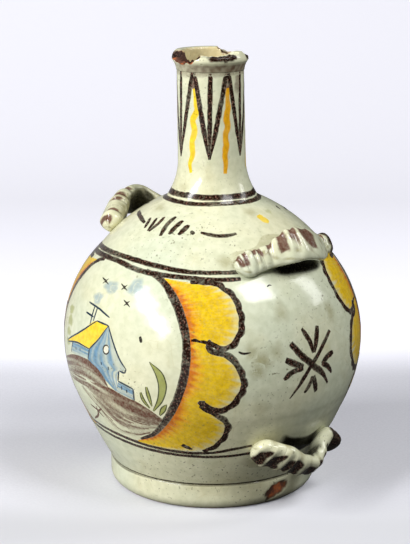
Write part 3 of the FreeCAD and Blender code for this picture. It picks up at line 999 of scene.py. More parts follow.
def eased(places, values, where):
    """Values between the rows of a profile, with the corners rounded off."""
    fine = np.linspace(-EASE_SPAN, EASE_SPAN, EASE_STEPS)
    kernel = np.hanning(EASE_WINDOW)
    drawn = np.pad(np.interp(fine, places, values), EASE_WINDOW // 2, mode="edge")
    return np.interp(where, fine, np.convolve(drawn, kernel / kernel.sum(), mode="valid"))


def squared(value, flat):
    """Cosine or sine drawn out towards a square."""
    return np.sign(value) * np.abs(value)**flat


def loop_frame(seat, share, yaw, tilt, slant):
    """Origin of a loop on its seat, and directions along the loop, up the wall and out of it."""
    yaw, tilt, slant = map(math.radians, (yaw, tilt, slant))
    seat_radius, seat_height = np.array(seat[0]) + share * (np.array(seat[1]) - np.array(seat[0]))
    round_wall = np.array((math.cos(yaw), math.sin(yaw), 0))
    out = math.cos(tilt) * round_wall + math.sin(tilt) * UP
    level = np.array((-math.sin(yaw), math.cos(yaw), 0))
    along = math.cos(slant) * level + math.sin(slant) * np.cross(out, level)
    return seat_radius * round_wall + seat_height * UP, along, np.cross(out, along), out


def thumb_marks(back, around, smear, patches, patch_side, patch_reach, patch_pigment, patch_load):
    """Cover and colour of a loop's painted thumb marks, and how deep each point is pressed."""
    cover = np.zeros(smear.shape)
    press = np.zeros(smear.shape)
    pigment = np.broadcast_to(patch_pigment, (*smear.shape, 3))
    side = np.cos(around - math.radians(patch_side))
    marked = unit(0.6 + side)
    for start, end, *own in patches:
        least = own[0] if own else patch_reach
        colour = own[1] if own[1:] else patch_pigment
        bend = MARK_BEND * np.sin(around + rng.uniform(0, ANY_PHASE))
        off = (back + bend - (start + end) / 2) / ((end - start) / 2)
        reached = side - least - rng.uniform(*MARK_SPREAD) + 0.15 * smear
        mark = patch_load * unit((1.1 - np.abs(off) + 0.14 * smear) * 3) * unit(reached * 4)
        pigment = np.where((mark > cover)[..., None], colour, pigment)
        cover = np.maximum(cover, mark)
        press = np.maximum(press, np.exp(-1.3 * off**2) * marked)
    return cover, pigment, press


def loop_tarnish_and_shade(eye, back, around, smear, cover, pigment):
    """Cover, colour and grain of a loop: tarnish in blotches and by the wall, and painted shade, dark as
    grime, in its eye.
    """
    # Painted shade: a near-black sheet on the loop's inner face, in the eye where it stands off the wall and
    # shadow falls
    dirt_and_shade = GRIME_AND_SHADE_COVER * eye * unit(-1.8 * np.cos(around) - 0.2 + 0.3 * smear)
    tarnish = 0.6 * unit(0.2 - np.cos(around) + 0.5 * smear) * unit(1.3 - np.abs(back + 0.5) * 2)
    tarnish = np.maximum(tarnish, 0.55 * unit(0.9 * smear - 0.35))
    grain = np.where(np.maximum(tarnish, dirt_and_shade) > cover, 0.1, 0.75)
    for amount, colour in ((tarnish, TARNISH), (dirt_and_shade, GRIME_AND_SHADE)):
        pigment = np.where((amount > cover)[..., None], colour, pigment)
        cover = np.maximum(cover, amount)
    return cover, pigment, grain


def loop_pieces(name, tails, place, points, cover, pigment, grain, glaze):
    """A loop cut into its two end pads and its arch, each closed by a fan at both ends."""
    cuts = [0, *np.searchsorted(place, (-PAD_SHARE, PAD_SHARE)).tolist(), LOOP_ROWS - 1]
    first_ring = np.arange(LOOP_COLUMNS)
    for tail, first, last in zip(tails, cuts, cuts[1:]):
        rows = slice(first, last + 1)
        body = points[rows].reshape(-1, 3)
        poles = [points[first].mean(axis=0), points[last].mean(axis=0)]
        quads = lattice(last + 1 - first, LOOP_COLUMNS, False, True)
        last_ring = first_ring + (last - first) * LOOP_COLUMNS
        caps = np.vstack((fan(first_ring[::-1], len(body)), fan(last_ring, len(body) + 1)))
        values = {
            "cover": np.append(cover[rows].ravel(), (0, 0)),
            "grain": np.append(grain[rows].ravel(), (0, 0)),
            "pigment": np.vstack((pigment[rows].reshape(-1, 3), (GRIME_AND_SHADE, GRIME_AND_SHADE))),
        }
        node = name + tail
        piece = new_piece(node, np.vstack((body, poles)), quads.tolist() + caps.tolist(), values)
        finish_piece(piece, glaze, node)


def faded(strength):
    """Cover that fades out at all edges of an area."""
    def cover(share, length):
        ends = np.sin(math.pi * np.linspace(0, 1, length))
        return strength * unit(SHADE_GRIME_AND_TARNISH_FADE * np.sin(math.pi * share)) * unit(SHADE_GRIME_AND_TARNISH_FADE * ends)
    return cover


def build_loop(glaze, shade_grime_and_tarnish, name, seat, share, yaw, tilt, slant, half, ahead, flat, profile, eye_side,
               eye_place, **marks):
    """One loop, turned towards the front by the angle ahead, and the painted shade, dark as grime, and the
    tarnish on the wall beside it.
    """
    front = -1 if yaw == 0 else 1
    origin, along, rise, out = loop_frame(seat, share, yaw + front * ahead, tilt, slant)
    place = np.linspace(-1, 1, LOOP_ROWS)
    back = -front * place
    rows = np.array(profile)
    lift, face, edge, shift = (eased(rows[:, 0], rows[:, column], back) for column in (1, 2, 3, 4))
    base = origin + half * place[:, None] * along + shift[:, None] * rise
    lift = lift + LOOP_SAG * waves(*LOOP_SAG_WAVES)(place * half, 0)
    wall = np.array([wall_offset(point, out) for point in base])
    middle = base + (wall + lift)[:, None] * out
    heading = np.gradient(middle, axis=0)
    heading /= np.linalg.norm(heading, axis=1)[:, None]
    facing = np.cross(heading, rise)
    facing /= np.linalg.norm(facing, axis=1)[:, None]

    tip = unit((np.abs(place) - 1 + COIL_TIP_SHARE) / COIL_TIP_SHARE)
    tip = np.sqrt(np.maximum(1 - tip**2, TIP_LEAST))
    around = np.linspace(0, 2 * math.pi, LOOP_COLUMNS, endpoint=False)
    run = half * back[:, None]
    smear = waves(*LOOP_SMEAR_WAVES)(run, 7 * np.sin(around) + 3 * np.cos(around))
    cover, pigment, press = thumb_marks(back[:, None], around, smear, **marks)
    lumpy = LOOP_LUMPS * waves(*LOOP_LUMP_WAVES)(run, 9 * np.sin(around) + 4 * np.cos(around))
    swell = 1 + lumpy - THUMB_DEPTH / 4 * press
    deep = (edge * tip)[:, None] * squared(np.cos(around), flat) * swell
    wide = (face * tip)[:, None] * squared(np.sin(around), flat) * (0.5 + 0.5 * swell)
    points = middle[:, None] + facing[:, None] * deep[..., None] + rise * wide[..., None]
    eye = unit((lift - edge - EYE_LEAST_GAP) / EYE_GAP_FADE)
    shades = loop_tarnish_and_shade(eye[:, None], back[:, None], around, smear, cover, pigment)
    loop_pieces(name, ("_front_pad", "_arch", "_rear_pad")[::-front], place, points, *shades, glaze)

    def on_wall(away, first, last):
        foot = base + (eye_side * (eye_place + away) * face)[:, None] * rise
        foot = foot + np.array([wall_offset(point, out) for point in foot])[:, None] * out
        path = np.stack((np.unwrap(np.arctan2(foot[:, 1], foot[:, 0])), run_at(foot[:, 2])), axis=1)
        return path[(back > first) & (back < last)][::SHADE_GRIME_AND_TARNISH_STRIDE]

    # Painted shade under each strap and tarnish beside it, laid as sheets on the wall
    for near, far, colour, strength, first, last in LOOP_SHADE_GRIME_AND_TARNISH:
        edges = on_wall(near, first, last), on_wall(far, first, last)
        shade_grime_and_tarnish.fill(*edges, SHADE_GRIME_AND_TARNISH_ROWS, plain(colour), faded(strength))


# Paths of the painting, with turns and ring angles in radians
FRONT_AND_BACK = (0.0, math.pi)
BACK_TURN = math.radians(177)
WHOLE = (1, 1)
RING_ANGLES = np.linspace(0, 2 * math.pi, 49)
RING_SWAY = 0.25


def moved(path, turn, rise=0.0):
    return np.asarray(path) + (turn, rise)


def ring_path(pixel):
    """A level line all the way round through one pixel, with a little sway."""
    run = on_skin(*pixel)[1]
    waver = RING_SWAY * (np.sin(2 * RING_ANGLES + pixel[0]) + 0.6 * np.sin(5 * RING_ANGLES + pixel[1]))
    return np.stack((RING_ANGLES, run + waver), axis=1)


# Lines round the neck, shoulder, belly and foot
NECK_LINES = (
    # column, row, width in millimetres
    (212, 197.6, 3.3), (210, 205, 3.0),
)
# Painted shade with a brown wash, carried from under the rim onto the top of the neck
NECK_BAND_PIXEL = (209.5, 69.5)
NECK_BAND = dict(width=4.6, pigment=UNDER_RIM_WASH_AND_SHADE, taper=WHOLE, rough=0.3, grain=0.4, cover=0.5,
                 spread=SOFT_BRUSH)
FOOT_LINE_RISE = 0.55
FOOT_LINE = dict(width=1.0, pigment=SEAM_BROWN, taper=WHOLE, rough=0.3, grain=0.2, cover=0.95)
UPPER_LINES = (
    ((103.1, 239.1), (121.7, 255.3), (151.2, 264.4), (189.7, 272.2), (210, 272.9), (240, 272)),
    ((98.2, 243.7), (119.6, 261.6), (139.3, 270.3), (189.7, 278), (220.3, 279.9), (241, 279)),
)
LOWER_LINES = (
    ((88, 412.5), (117, 433.5), (154, 447), (191, 453), (215, 452.6), (232, 449.5), (252, 445.5)),
    ((88, 416), (117, 437.5), (154, 450.5), (191, 456.2), (209.5, 457), (230, 456), (252, 452.8)),
)
UPPER_LINE_WIDTH = 2.9
LOWER_LINE_WIDTH = 2.1
LINE_ENDS = (0.8, 0.8)
HIDDEN_END = math.radians(-131)


def paint_lines(glaze):
    film = Film()
    for column, row, width in NECK_LINES:
        film.stroke(ring_path((column, row)), width, taper=WHOLE)
    film.stroke(ring_path(NECK_BAND_PIXEL), **NECK_BAND)
    seam = np.stack((RING_ANGLES, np.full(len(RING_ANGLES), run_at(FOOT_TOP + FOOT_LINE_RISE))), axis=1)
    film.stroke(seam, **FOOT_LINE)
    for lines, width in ((UPPER_LINES, UPPER_LINE_WIDTH), (LOWER_LINES, LOWER_LINE_WIDTH)):
        for pixels in lines:
            shown = trace(*pixels)
            path = np.vstack(((HIDDEN_END, shown[0, 1]), shown))
            for turn in FRONT_AND_BACK:
                film.stroke(moved(path, turn), width, taper=LINE_ENDS)
    film.piece("painted_lines", glaze)


# Neck: six fans of three strokes, with wavy yellow lines between them
FAN_TOP_PIXEL = (209.5, 71)
FAN_APEX_PIXEL = (209.5, 160)
FAN_COUNT = 6
FAN_TWIST = math.radians(4)
FAN_WIDTH = 2.8
FAN_ENDS = (0.95, 0.28)
FAN_SPREAD = 0.97
FAN_GATHER = 0.02
FAN_TOP_RISE = 0.5
FAN_MIDDLE_RISE = 1.5
FAN_MIDDLE_SHARE = 0.95
FAN_WOBBLE = 0.012
PEAK_WASH = (
    # share of the twist, rise from the top of the fans
    (0.0, FAN_TOP_RISE), (-0.2, -4.0), (-0.4, -9.0),
)
APEX_WASH = (
    # share of the twist, rise from the apex
    (0.0, 0.0), (0.0, 6.0), (0.3, 15.0),
)
FAN_WASH = (0.13, 0.062, 0.046)
WASH_BRUSH = dict(pigment=FAN_WASH, rough=0.2, grain=0.8, lift=WASH_LIFT)
PEAK_BRUSH = dict(WASH_BRUSH, width=4.2, taper=(0.8, 0.35), cover=0.85)
APEX_BRUSH = dict(WASH_BRUSH, width=3.6, taper=(0.2, 0.5), cover=0.75)
SMEAR_PIXEL = (238, 83)
SMEAR = dict(half_wide=3.4, half_high=6.5, pigment=FAN_WASH, cover=0.6, grain=0.5)
YELLOW_LINES = (
    (LEMON, ((193.9, 88), (195.8, 100), (196.6, 111), (192.8, 119.6), (194.6, 130), (192, 143),
             (192.4, 154), (189.9, 165), (190.9, 173))),
    (AMBER, ((228, 87), (227.6, 100), (227.8, 109), (226.5, 118), (227.5, 127), (225.6, 136),
             (226.4, 145), (225, 154), (225.9, 163), (225.4, 174))),
)
YELLOW_BRUSH = dict(width=3.7, taper=(0.5, 0.6), rough=0.22, grain=0.0, lift=WASH_LIFT)


def paint_neck(glaze):
    fans = Film()
    yellow = Film()
    top = on_skin(*FAN_TOP_PIXEL)
    apex = on_skin(*FAN_APEX_PIXEL)
    gap = 2 * math.pi / FAN_COUNT
    for number in range(FAN_COUNT):
        point = (apex[0] + number * gap, apex[1] + (rng.uniform(-1, 1) if number else 0))
        for side in (-0.5, 0, 0.5):
            start = (point[0] + FAN_TWIST + side * gap * FAN_SPREAD, top[1] + FAN_TOP_RISE)
            end = (point[0] + side * FAN_GATHER, point[1] + (0 if side else FAN_MIDDLE_RISE))
            middle = (np.array(start) + np.array(end)) / 2 + (rng.uniform(-FAN_WOBBLE, FAN_WOBBLE), 0)
            width = FAN_WIDTH if side else FAN_WIDTH * FAN_MIDDLE_SHARE
            fans.stroke((start, middle, end), width, taper=FAN_ENDS)
        peak = point[0] + FAN_TWIST + gap / 2
        between = [(peak + share * FAN_TWIST, top[1] + rise) for share, rise in PEAK_WASH]
        fans.stroke(between, **PEAK_BRUSH)
        foot = [(point[0] + share * FAN_TWIST, point[1] + rise) for share, rise in APEX_WASH]
        fans.stroke(foot, **APEX_BRUSH)
    fans.blot(on_skin(*SMEAR_PIXEL), **SMEAR)
    for number in range(FAN_COUNT // 2):
        for colour, pixels in YELLOW_LINES:
            yellow.stroke(moved(trace(*pixels), 2 * gap * number), pigment=colour, **YELLOW_BRUSH)
    fans.piece("painted_neck_fans", glaze)
    yellow.piece("painted_neck_yellow", glaze)


# Shoulder: a row of dashes, a long stroke and a few dabs, front and back
SHOULDER_STROKES = (
    (2.6, ((139, 210.5), (140.6, 217), (144.8, 222.8))),
    (2.2, ((150.5, 217.6), (148, 222.5), (144.6, 228))),
    (2.2, ((157, 217.8), (153, 223.5), (147.6, 230.9))),
    (2.3, ((164.6, 216.8), (158.8, 223), (148.8, 231.4))),
    (2.9, ((176, 216.5), (168, 223.5), (160.3, 236))),
    (3, ((183, 220.5), (176.5, 226), (169, 234.4))),
    (3, ((189, 225), (184.5, 229.2), (178.4, 235))),
    (3.2, ((190.6, 233.6), (194.4, 231.8))),
    (2.4, ((200.5, 232.4), (209, 234.6), (219, 236), (229, 235.3), (236.5, 233.4))),
    (1.8, ((276, 205.5), (278, 207.5), (280.5, 209))),
)
SHOULDER_DAB = ((257.5, 214.5), (262, 218.5), (269, 222))
SHOULDER_DAB_BRUSH = dict(YELLOW_BRUSH, width=4.6, pigment=LEMON, rough=0.2, cover=0.95)
SHOULDER_SMEAR_PIXEL = (268.5, 211.5)
SHOULDER_SMEAR = dict(half_wide=2.6, half_high=2.0, pigment=LEAF, cover=0.28)
SHOULDER_ENDS = (0.6, 0.6)


def paint_shoulder(glaze):
    film = Film()
    for turn in FRONT_AND_BACK:
        for width, pixels in SHOULDER_STROKES:
            film.stroke(moved(trace(*pixels), turn), width, taper=SHOULDER_ENDS)
        film.stroke(moved(trace(*SHOULDER_DAB), turn), **SHOULDER_DAB_BRUSH)
        film.blot(moved(on_skin(*SHOULDER_SMEAR_PIXEL), turn), **SHOULDER_SMEAR)
    film.piece("painted_shoulder", glaze)


# Star in each side panel
STAR_STROKES = (
    (2.1, ((329.5, 330), (321, 349), (310, 368), (297, 389), (289.5, 399)), (0.8, 0.3)),
    (2.9, ((290.5, 343.5), (301, 355), (314, 366), (323, 374), (327.5, 383)), (0.9, 0.35)),
    (2.3, ((301.5, 328.5), (308, 338), (313.8, 352.5)), (0.5, 0.7)),
    (2.6, ((317, 325.5), (316.5, 338), (314.2, 352.5)), (0.8, 0.6)),
    (2.7, ((285.5, 360.5), (294, 363.5), (303.5, 367)), (0.9, 0.9)),
    (2.5, ((284, 380), (292, 372.5), (303.5, 368)), (0.6, 0.9)),
    (2.6, ((333, 351.5), (327, 357), (321.8, 363.5)), (0.8, 0.6)),
    (2.2, ((321.8, 363), (328, 366.5), (331.5, 372.5)), (0.9, 0.4)),
    (2.2, ((312.8, 376), (310, 384), (304.5, 393)), (0.9, 0.6)),
    (2.6, ((313.2, 376), (315, 384), (315.8, 391.5)), (0.9, 0.8)),
)
STAR_LOAD = 1.2
SCRATCH_STROKES = (
    (1.2, ((238.5, 352), (243, 353.6), (251.5, 352.6)), (0.6, 0.3)),
    (0.8, ((267, 287), (269.5, 285), (271.5, 285.5)), (0.6, 0.6)),
)


def paint_stars(glaze):
    film = Film()
    for turn in FRONT_AND_BACK:
        for width, pixels, taper in STAR_STROKES:
            film.stroke(moved(trace(*pixels), turn), STAR_LOAD * width, taper=taper)
    for width, pixels, taper in SCRATCH_STROKES:
        film.stroke(trace(*pixels), width, SOOT, taper, grain=0.2)
    film.piece("painted_stars", glaze)


# Medallion: ring, and scalloped ochre fields on both sides of it, front and back
MEDALLION_PIXEL = (90, 350)
RING_PIXELS = ((146, 270.5), (156, 275.5), (164.5, 283), (174, 298), (182.4, 320), (186.6, 340),
               (187, 352), (184.8, 375), (177.6, 400), (166.5, 420), (153.5, 434.2), (141, 439))
RING_BRUSH = dict(width=4.8, taper=(0.5, 0.35), rough=0.10, lift=FIELD_LIFT)
SCALLOP_LOAD = 1.25
SCALLOP_BRUSH = dict(rough=0.16, bead=0.9)
SCALLOP_LINES = (
    (2.3, (0.8, 0.9), ((190, 282.3), (203, 283.3), (217.6, 285), (226, 291), (233.7, 297.5), (237.6, 306),
                       (240.4, 316), (241.2, 323.5), (240.4, 330.5), (236, 340), (230.5, 346), (225.6, 348),
                       (218, 347), (211, 343))),
    (2.5, (0.9, 0.9), ((207, 345), (209.6, 350.5), (216, 353.6), (224, 355), (230, 359), (235, 363.5),
                       (240.5, 373.5), (243.4, 384.5), (240, 394.5), (232, 404.6), (226, 408.6),
                       (218.5, 410), (210.5, 408), (202, 402.5))),
    (2.3, (0.9, 0.8), ((199.5, 405.5), (205, 410), (212, 413), (219.7, 418), (226.7, 424), (226, 432),
                       (221, 440.5), (213, 447), (203, 451.5))),
    (1, (0.8, 0.5), ((190.5, 340.8), (199, 341.8), (210, 345))),
    (1.6, (0.9, 0.5), ((181, 445), (186, 447.6), (193, 449.5))),
)
SCALLOP_FIELDS = (
    (((161.5, 278), (170, 287), (179.3, 303), (187, 328), (189.5, 341)),
     ((167, 278.6), (190, 282.5), (217.6, 285.5), (233, 298), (239.6, 316), (239.6, 330), (235, 340),
      (225.6, 347), (212, 344))),
    (((189, 337), (189.6, 352), (187.2, 375), (179, 402)),
     ((213, 342), (210, 350.5), (224, 356), (234.4, 364), (242.6, 384.5), (239, 394), (231.5, 403.6),
      (219, 409.5), (203, 404.6))),
    (((181.5, 396), (169, 420), (155, 435.6), (138, 440.2)),
     ((205, 402), (217.6, 417.5), (226, 425), (225, 434), (213, 446.6), (198, 450.5), (170, 449),
      (138, 441.5))),
)
KNOTS = (
    # column, row, half width in millimetres
    (209.5, 344, 1.9), (201.5, 403.5, 1.8),
)
KNOT_BRUSH = dict(pigment=MANGANESE, cover=1.0, grain=0.8, lift=KNOT_LIFT, fade=40.0)
MEDALLIONS = (
    # turn in radians, rise of the scallops, width of the left half, shear of the left half
    (0.0, 0.0, 0.73, 0.0),
    (BACK_TURN, 5.0, 1.0, 0.0018),
)
FIELD_ROWS = 22
FIELD_STEP = 0.5
STREAK_STEP = 0.7
OCHRE_STOPS = ((0.0, ORANGE), (0.09, ORANGE), (0.18, AMBER), (0.34, GOLD), (0.75, GOLD), (1.0, LEMON))
OCHRE_WAVES = (10, 6.0)
OCHRE_EDGE_WAVES = (10, 4.0)
OCHRE_EDGE = 0.80
OCHRE_EDGE_FADE = 0.24


def ochre(share, length):
    """Deep orange beside the ring, gold in the middle and lemon at the edge, drawn out in brush streaks."""
    streak = waves(*OCHRE_WAVES)(np.arange(length) * STREAK_STEP, 4 * share)
    place = unit(share + 0.05 * streak)
    places, colours = zip(*OCHRE_STOPS)
    return np.stack([np.interp(place, places, channel) for channel in zip(*colours)], axis=-1)


def ochre_cover(share, length):
    """Full cover that thins out in streaks at the outer edge."""
    streak = waves(*OCHRE_EDGE_WAVES)(np.arange(length) * STREAK_STEP, 4 * share)
    thin = unit((share - OCHRE_EDGE + 0.07 * streak) / OCHRE_EDGE_FADE)
    return np.clip(1.0 - 0.75 * thin - 0.06 * np.abs(streak), 0.1, 1)


def paint_medallions(glaze):
    middle = on_skin(*MEDALLION_PIXEL)[0]
    lines = Film()
    fields = Film()

    half_ring = trace(*RING_PIXELS)
    ring_run = half_ring[:, 1].mean()
    for turn, rise, left_share, shear in MEDALLIONS:
        def mirrored(path):
            angle = middle - left_share * (path[:, 0] - middle) - shear * (path[:, 1] - ring_run)
            return np.stack((angle, path[:, 1]), axis=1)

        for side in (np.asarray, mirrored):
            ring = moved(side(half_ring), turn)
            lines.stroke(ring, **RING_BRUSH)
            for first, second in SCALLOP_FIELDS:
                edges = [moved(side(trace(*pixels)), turn, rise) for pixels in (first, second)]
                fields.fill(*edges, FIELD_ROWS, ochre, ochre_cover, grain=0.2, step=FIELD_STEP)
            for width, taper, pixels in SCALLOP_LINES:
                path = moved(side(trace(*pixels)), turn, rise)
                path = path if side is np.asarray else path[::-1]
                lines.stroke(path, SCALLOP_LOAD * width, taper=taper, **SCALLOP_BRUSH)
            for column, row, size in KNOTS:
                centre = moved(side(trace((column, row))), turn, rise)[0]
                lines.blot(centre, size, size, **KNOT_BRUSH)
    lines.piece("painted_medallion_lines", glaze)
    fields.piece("painted_ochre_fields", glaze)


# Landscape in each medallion: a cottage on a hill, clouds, birds and leaves
ROOF = (((67.7, 339.6), (82, 330.5), (97.1, 320.7), (108.3, 325.6)),
        ((67.9, 340.6), (78, 342.6), (89.4, 348.7), (99, 339), (108.3, 326)))
BLUE_WALLS = (
    (((108.3, 326), (98, 338.5), (89.4, 349.4), (88, 359), (97, 369), (106, 381), (116, 391.5)),
     ((108.6, 326), (112, 339), (116, 350.8), (120.5, 362), (124.5, 370.5), (118.8, 372), (118, 390))),
    (((72.6, 342), (80, 345), (89, 349.5)), ((71.6, 352), (79, 355.5), (87.5, 358.8))),
    (((118, 381), (125, 384.5), (133, 389.5)), ((116.5, 392), (125, 396.8), (134, 401.2))),
)
HILLS = (
    (((63.5, 353.6), (81, 356.4), (93.6, 363.4), (104, 377), (108, 386.5)),
     ((65, 374), (76, 381), (86, 387), (96, 392), (107, 390))),
    (((95, 382), (108, 387), (121.6, 394.3), (138.4, 402.7), (152, 411.5), (163, 419.5)),
     ((80, 386), (92, 402), (104, 417), (117, 430), (133, 437), (152, 433.5))),
)
LEAVES = (
    (((153.8, 411.5), (163, 400), (166.2, 385), (162.5, 374), (149.6, 362)),
     ((153, 411), (158, 398), (158.6, 386), (155.8, 375), (149.2, 362))),
    (((139.8, 392.5), (141.5, 399), (149.6, 408.5)), ((141, 392), (144, 399), (150, 408))),
    (((145.4, 386.8), (147, 396), (151.7, 406.5)), ((147, 387), (150, 396), (152.3, 406))),
    (((159.4, 415), (161.5, 408), (166.6, 404.5)), ((160, 416), (165, 411), (167, 405))),
)
WALL_ROWS = 14
WALL_COVERS = (0.30, 0.95)
WALL_REACH = 0.45
ROOF_ROWS = 9
ROOF_COVER = 0.95
LEAF_ROWS = 7
LEAF_COVER = 0.85
CLOUD_COVER = 0.5
EDGE_LEAF_COVER = 0.6
# Clouds and leaves at the edge: column, row, half width and half height in millimetres
CLOUDS = ((111, 287, 6, 3.8), (114, 288.5, 3.4, 2.4), (136, 287.5, 5.4, 5.4), (137.5, 288.5, 3.4, 3.8),
          (98, 298, 4.2, 3.6), (97, 297, 2.4, 2.2))
EDGE_LEAVES = ((72, 309, 4.4, 2.8), (70.5, 320, 4.6, 3.4), (69, 331, 4.2, 2.6), (68.5, 341, 4, 2.4))
BIRDS = ((105.8, 281), (124.4, 287.3), (126.8, 303.4))
BIRD_SPAN = 5.0
BIRD_STROKES = (
    # direction in the photograph, share of the span
    (50, 1.0), (-38, 0.8), (90, 0.4),
)
BIRD_BRUSH = dict(width=0.8, pigment=SOOT, taper=(0.3, 0.3), grain=0.2)
COTTAGE_LINES = (
    ((67.7, 339.8), (82, 330.7), (97.1, 320.9)), ((97.1, 320.9), (108.5, 325.8)),
    ((67.9, 340.8), (78, 342.6), (89.4, 348.9)), ((89.4, 348.9), (99, 338.8), (108.5, 325.8)),
    ((108.5, 325.8), (112, 339), (116, 350.8), (121, 362), (126, 369.5)),
    ((126, 369.5), (124.6, 372.6), (118.8, 370.6)), ((118.8, 370.6), (118, 381)),
    ((118, 381), (133, 389)), ((133, 389), (134.4, 401)), ((89.4, 348.9), (88, 359)),
    ((72.6, 342), (71.6, 352)), ((97.6, 307.5), (93.4, 321)), ((95, 306), (90, 324.5)),
    ((89.4, 301.8), (99, 308.5), (109.6, 317.6)), ((86.4, 312), (93.6, 316.8)),
    ((76, 346.5), (76.2, 350.5)), ((80, 347.5), (80.2, 351.5)), ((121.5, 385.5), (122, 390.5)),
    ((126.5, 389), (127, 393.5)), ((101, 361.5), (101.6, 365.5)), ((108.2, 366), (108.6, 370.5)),
)
COTTAGE_BRUSH = dict(width=1.05, pigment=DEEP_BLUE, taper=(0.7, 0.6), grain=0.15)
HILL_ROWS = 30
HILL_COVERS = (0.0, 0.93)
HILL_GRAIN = 0.9
HILL_STROKES = 22
HILL_STEPS = 40
HILL_DEPTHS = (0.3, 0.95)
HILL_ENDS = (16, 39)
HILL_LENGTHS = (8, 16)
HILL_WIDTHS = (0.7, 1.5)
HILL_BRUSH = dict(pigment=HILL, taper=(0.8, 0.15), rough=0.3, grain=0.9, cover=0.8, lift=FIELD_LIFT)
LEAF_BRUSH = dict(width=0.75, pigment=LEAF_DARK, grain=0.1)
WINDOW = (106.2, 349.6)
WINDOW_PANE = dict(half_wide=1.9, half_high=2.6, pigment=MEDALLION_WHITE, cover=1.0, lift=LINE_LIFT)
WINDOW_FRAME = (3.0, 4.4)
WINDOW_FRAME_TURNS = np.linspace(0, 6.0, 9)
FRAME_BRUSH = dict(width=1.0, pigment=SOOT, grain=0.2, lift=KNOT_LIFT)
FLECK_BRUSH = dict(width=1.7, pigment=SOOT, taper=(0.8, 0.7), grain=0.0)
TWIG_BRUSH = dict(width=1.3, pigment=HILL, grain=0.5)
FLECK = ((140, 336.5), (141.2, 342.8))
TWIG_LINES = (((90.5, 404), (97, 409.5), (104, 417)), ((96, 405.5), (98.2, 412), (95, 418.5)),
              ((98, 411), (102, 408.5)))
STREAK_WAVES = (10, 5.0)


def streaky(low, high, reach=0.3):
    """Cover that thins out across an area in streaks drawn along it."""
    def cover(share, length):
        streak = waves(*STREAK_WAVES)(0.10 * np.arange(length), 24 * share)
        return unit(high + (low - high) * unit(1.1 * share + reach * streak - 0.14))
    return cover


def paint_landscapes(glaze):
    washes = Film()
    lines = Film()
    for turn in (0.0, BACK_TURN):
        def here(*pixels):
            return moved(trace(*pixels), turn)

        def edges(area):
            return [here(*pixels) for pixels in area]

        for hill in HILLS:
            tops, feet = (smooth(edge, count=HILL_STEPS) for edge in edges(hill))
            washes.fill(*edges(hill), HILL_ROWS, plain(HILL), streaky(*HILL_COVERS), HILL_GRAIN)
            for _ in range(HILL_STROKES):
                depth = rng.uniform(*HILL_DEPTHS)
                last = int(rng.integers(*HILL_ENDS))
                columns = np.linspace(last, max(last - int(rng.integers(*HILL_LENGTHS)), 1), 4).astype(int)
                path = tops[columns] + depth * (feet[columns] - tops[columns])
                washes.stroke(path, rng.uniform(*HILL_WIDTHS), **HILL_BRUSH)
        for wall in BLUE_WALLS:
            cover = streaky(*WALL_COVERS, WALL_REACH)
            washes.fill(*edges(wall), WALL_ROWS, plain(BLUE), cover, lift=FIELD_LIFT)
        washes.fill(*edges(ROOF), ROOF_ROWS, plain(LEMON), even(ROOF_COVER), lift=FIELD_LIFT)
        for leaf in LEAVES:
            washes.fill(*edges(leaf), LEAF_ROWS, plain(LEAF), even(LEAF_COVER), lift=FIELD_LIFT)
            for side in edges(leaf):
                lines.stroke(side, **LEAF_BRUSH)
        for column, row, wide, high in CLOUDS:
            washes.blot(here((column, row))[0], wide, high, BLUE, CLOUD_COVER)
        for column, row, wide, high in EDGE_LEAVES:
            washes.blot(here((column, row))[0], wide, high, LEAF, EDGE_LEAF_COVER)
        for column, row in BIRDS:
            for way, length in BIRD_STROKES:
                reach = BIRD_SPAN * length
                step = (reach * math.cos(math.radians(way)), reach * math.sin(math.radians(way)))
                ends = ((column - step[0], row - step[1]), (column, row), (column + step[0], row + step[1]))
                lines.stroke(here(*ends), **BIRD_BRUSH)
        for pixels in COTTAGE_LINES:
            lines.stroke(here(*pixels), **COTTAGE_BRUSH)
        washes.blot(here(WINDOW)[0], **WINDOW_PANE)
        wide, high = WINDOW_FRAME
        circle = [(WINDOW[0] + wide * math.cos(angle), WINDOW[1] + high * math.sin(angle))
                  for angle in WINDOW_FRAME_TURNS]
        lines.stroke(here(*circle), **FRAME_BRUSH)
        lines.stroke(here(*FLECK), **FLECK_BRUSH)
        for pixels in TWIG_LINES:
            lines.stroke(here(*pixels), **TWIG_BRUSH)
    washes.piece("painted_landscape_washes", glaze)
    lines.piece("painted_landscape_lines", glaze)


# Stains and dirt on the glaze
STAINS = (
    # column, row, half width, half height in millimetres, cover
    (238, 262, 4.5, 5.5, 0.55), (226, 262, 6, 5, 0.28), (262, 362, 7, 7, 0.34),
    (258, 372, 5, 5, 0.32), (277, 352, 5, 6, 0.22), (281, 312, 5, 7, 0.22),
    (251, 352, 4, 5, 0.26), (160, 208, 7, 4, 0.22), (250, 212, 5, 5, 0.24),
    (183, 188, 4, 4, 0.20), (330, 312, 4, 7, 0.26), (262, 408, 6, 5, 0.16),
)
STAIN_LOAD = 1.7
STAIN_FADE = 1.3


def paint_stains(glaze):
    film = Film()
    for column, row, wide, high, cover in STAINS:
        film.blot(on_skin(column, row), wide, high, TARNISH, STAIN_LOAD * cover, fade=STAIN_FADE)
    film.piece("glaze_stains", glaze)


# Stage: a pale sweep of paper, three soft lamps and a dim sky
# The paper is pale to the camera alone, so that it throws little light back. Its edges are in metres.
PAPER_GREY = (0.775, 0.78, 0.845)
PAPER_PALE = (0.815, 0.82, 0.885)
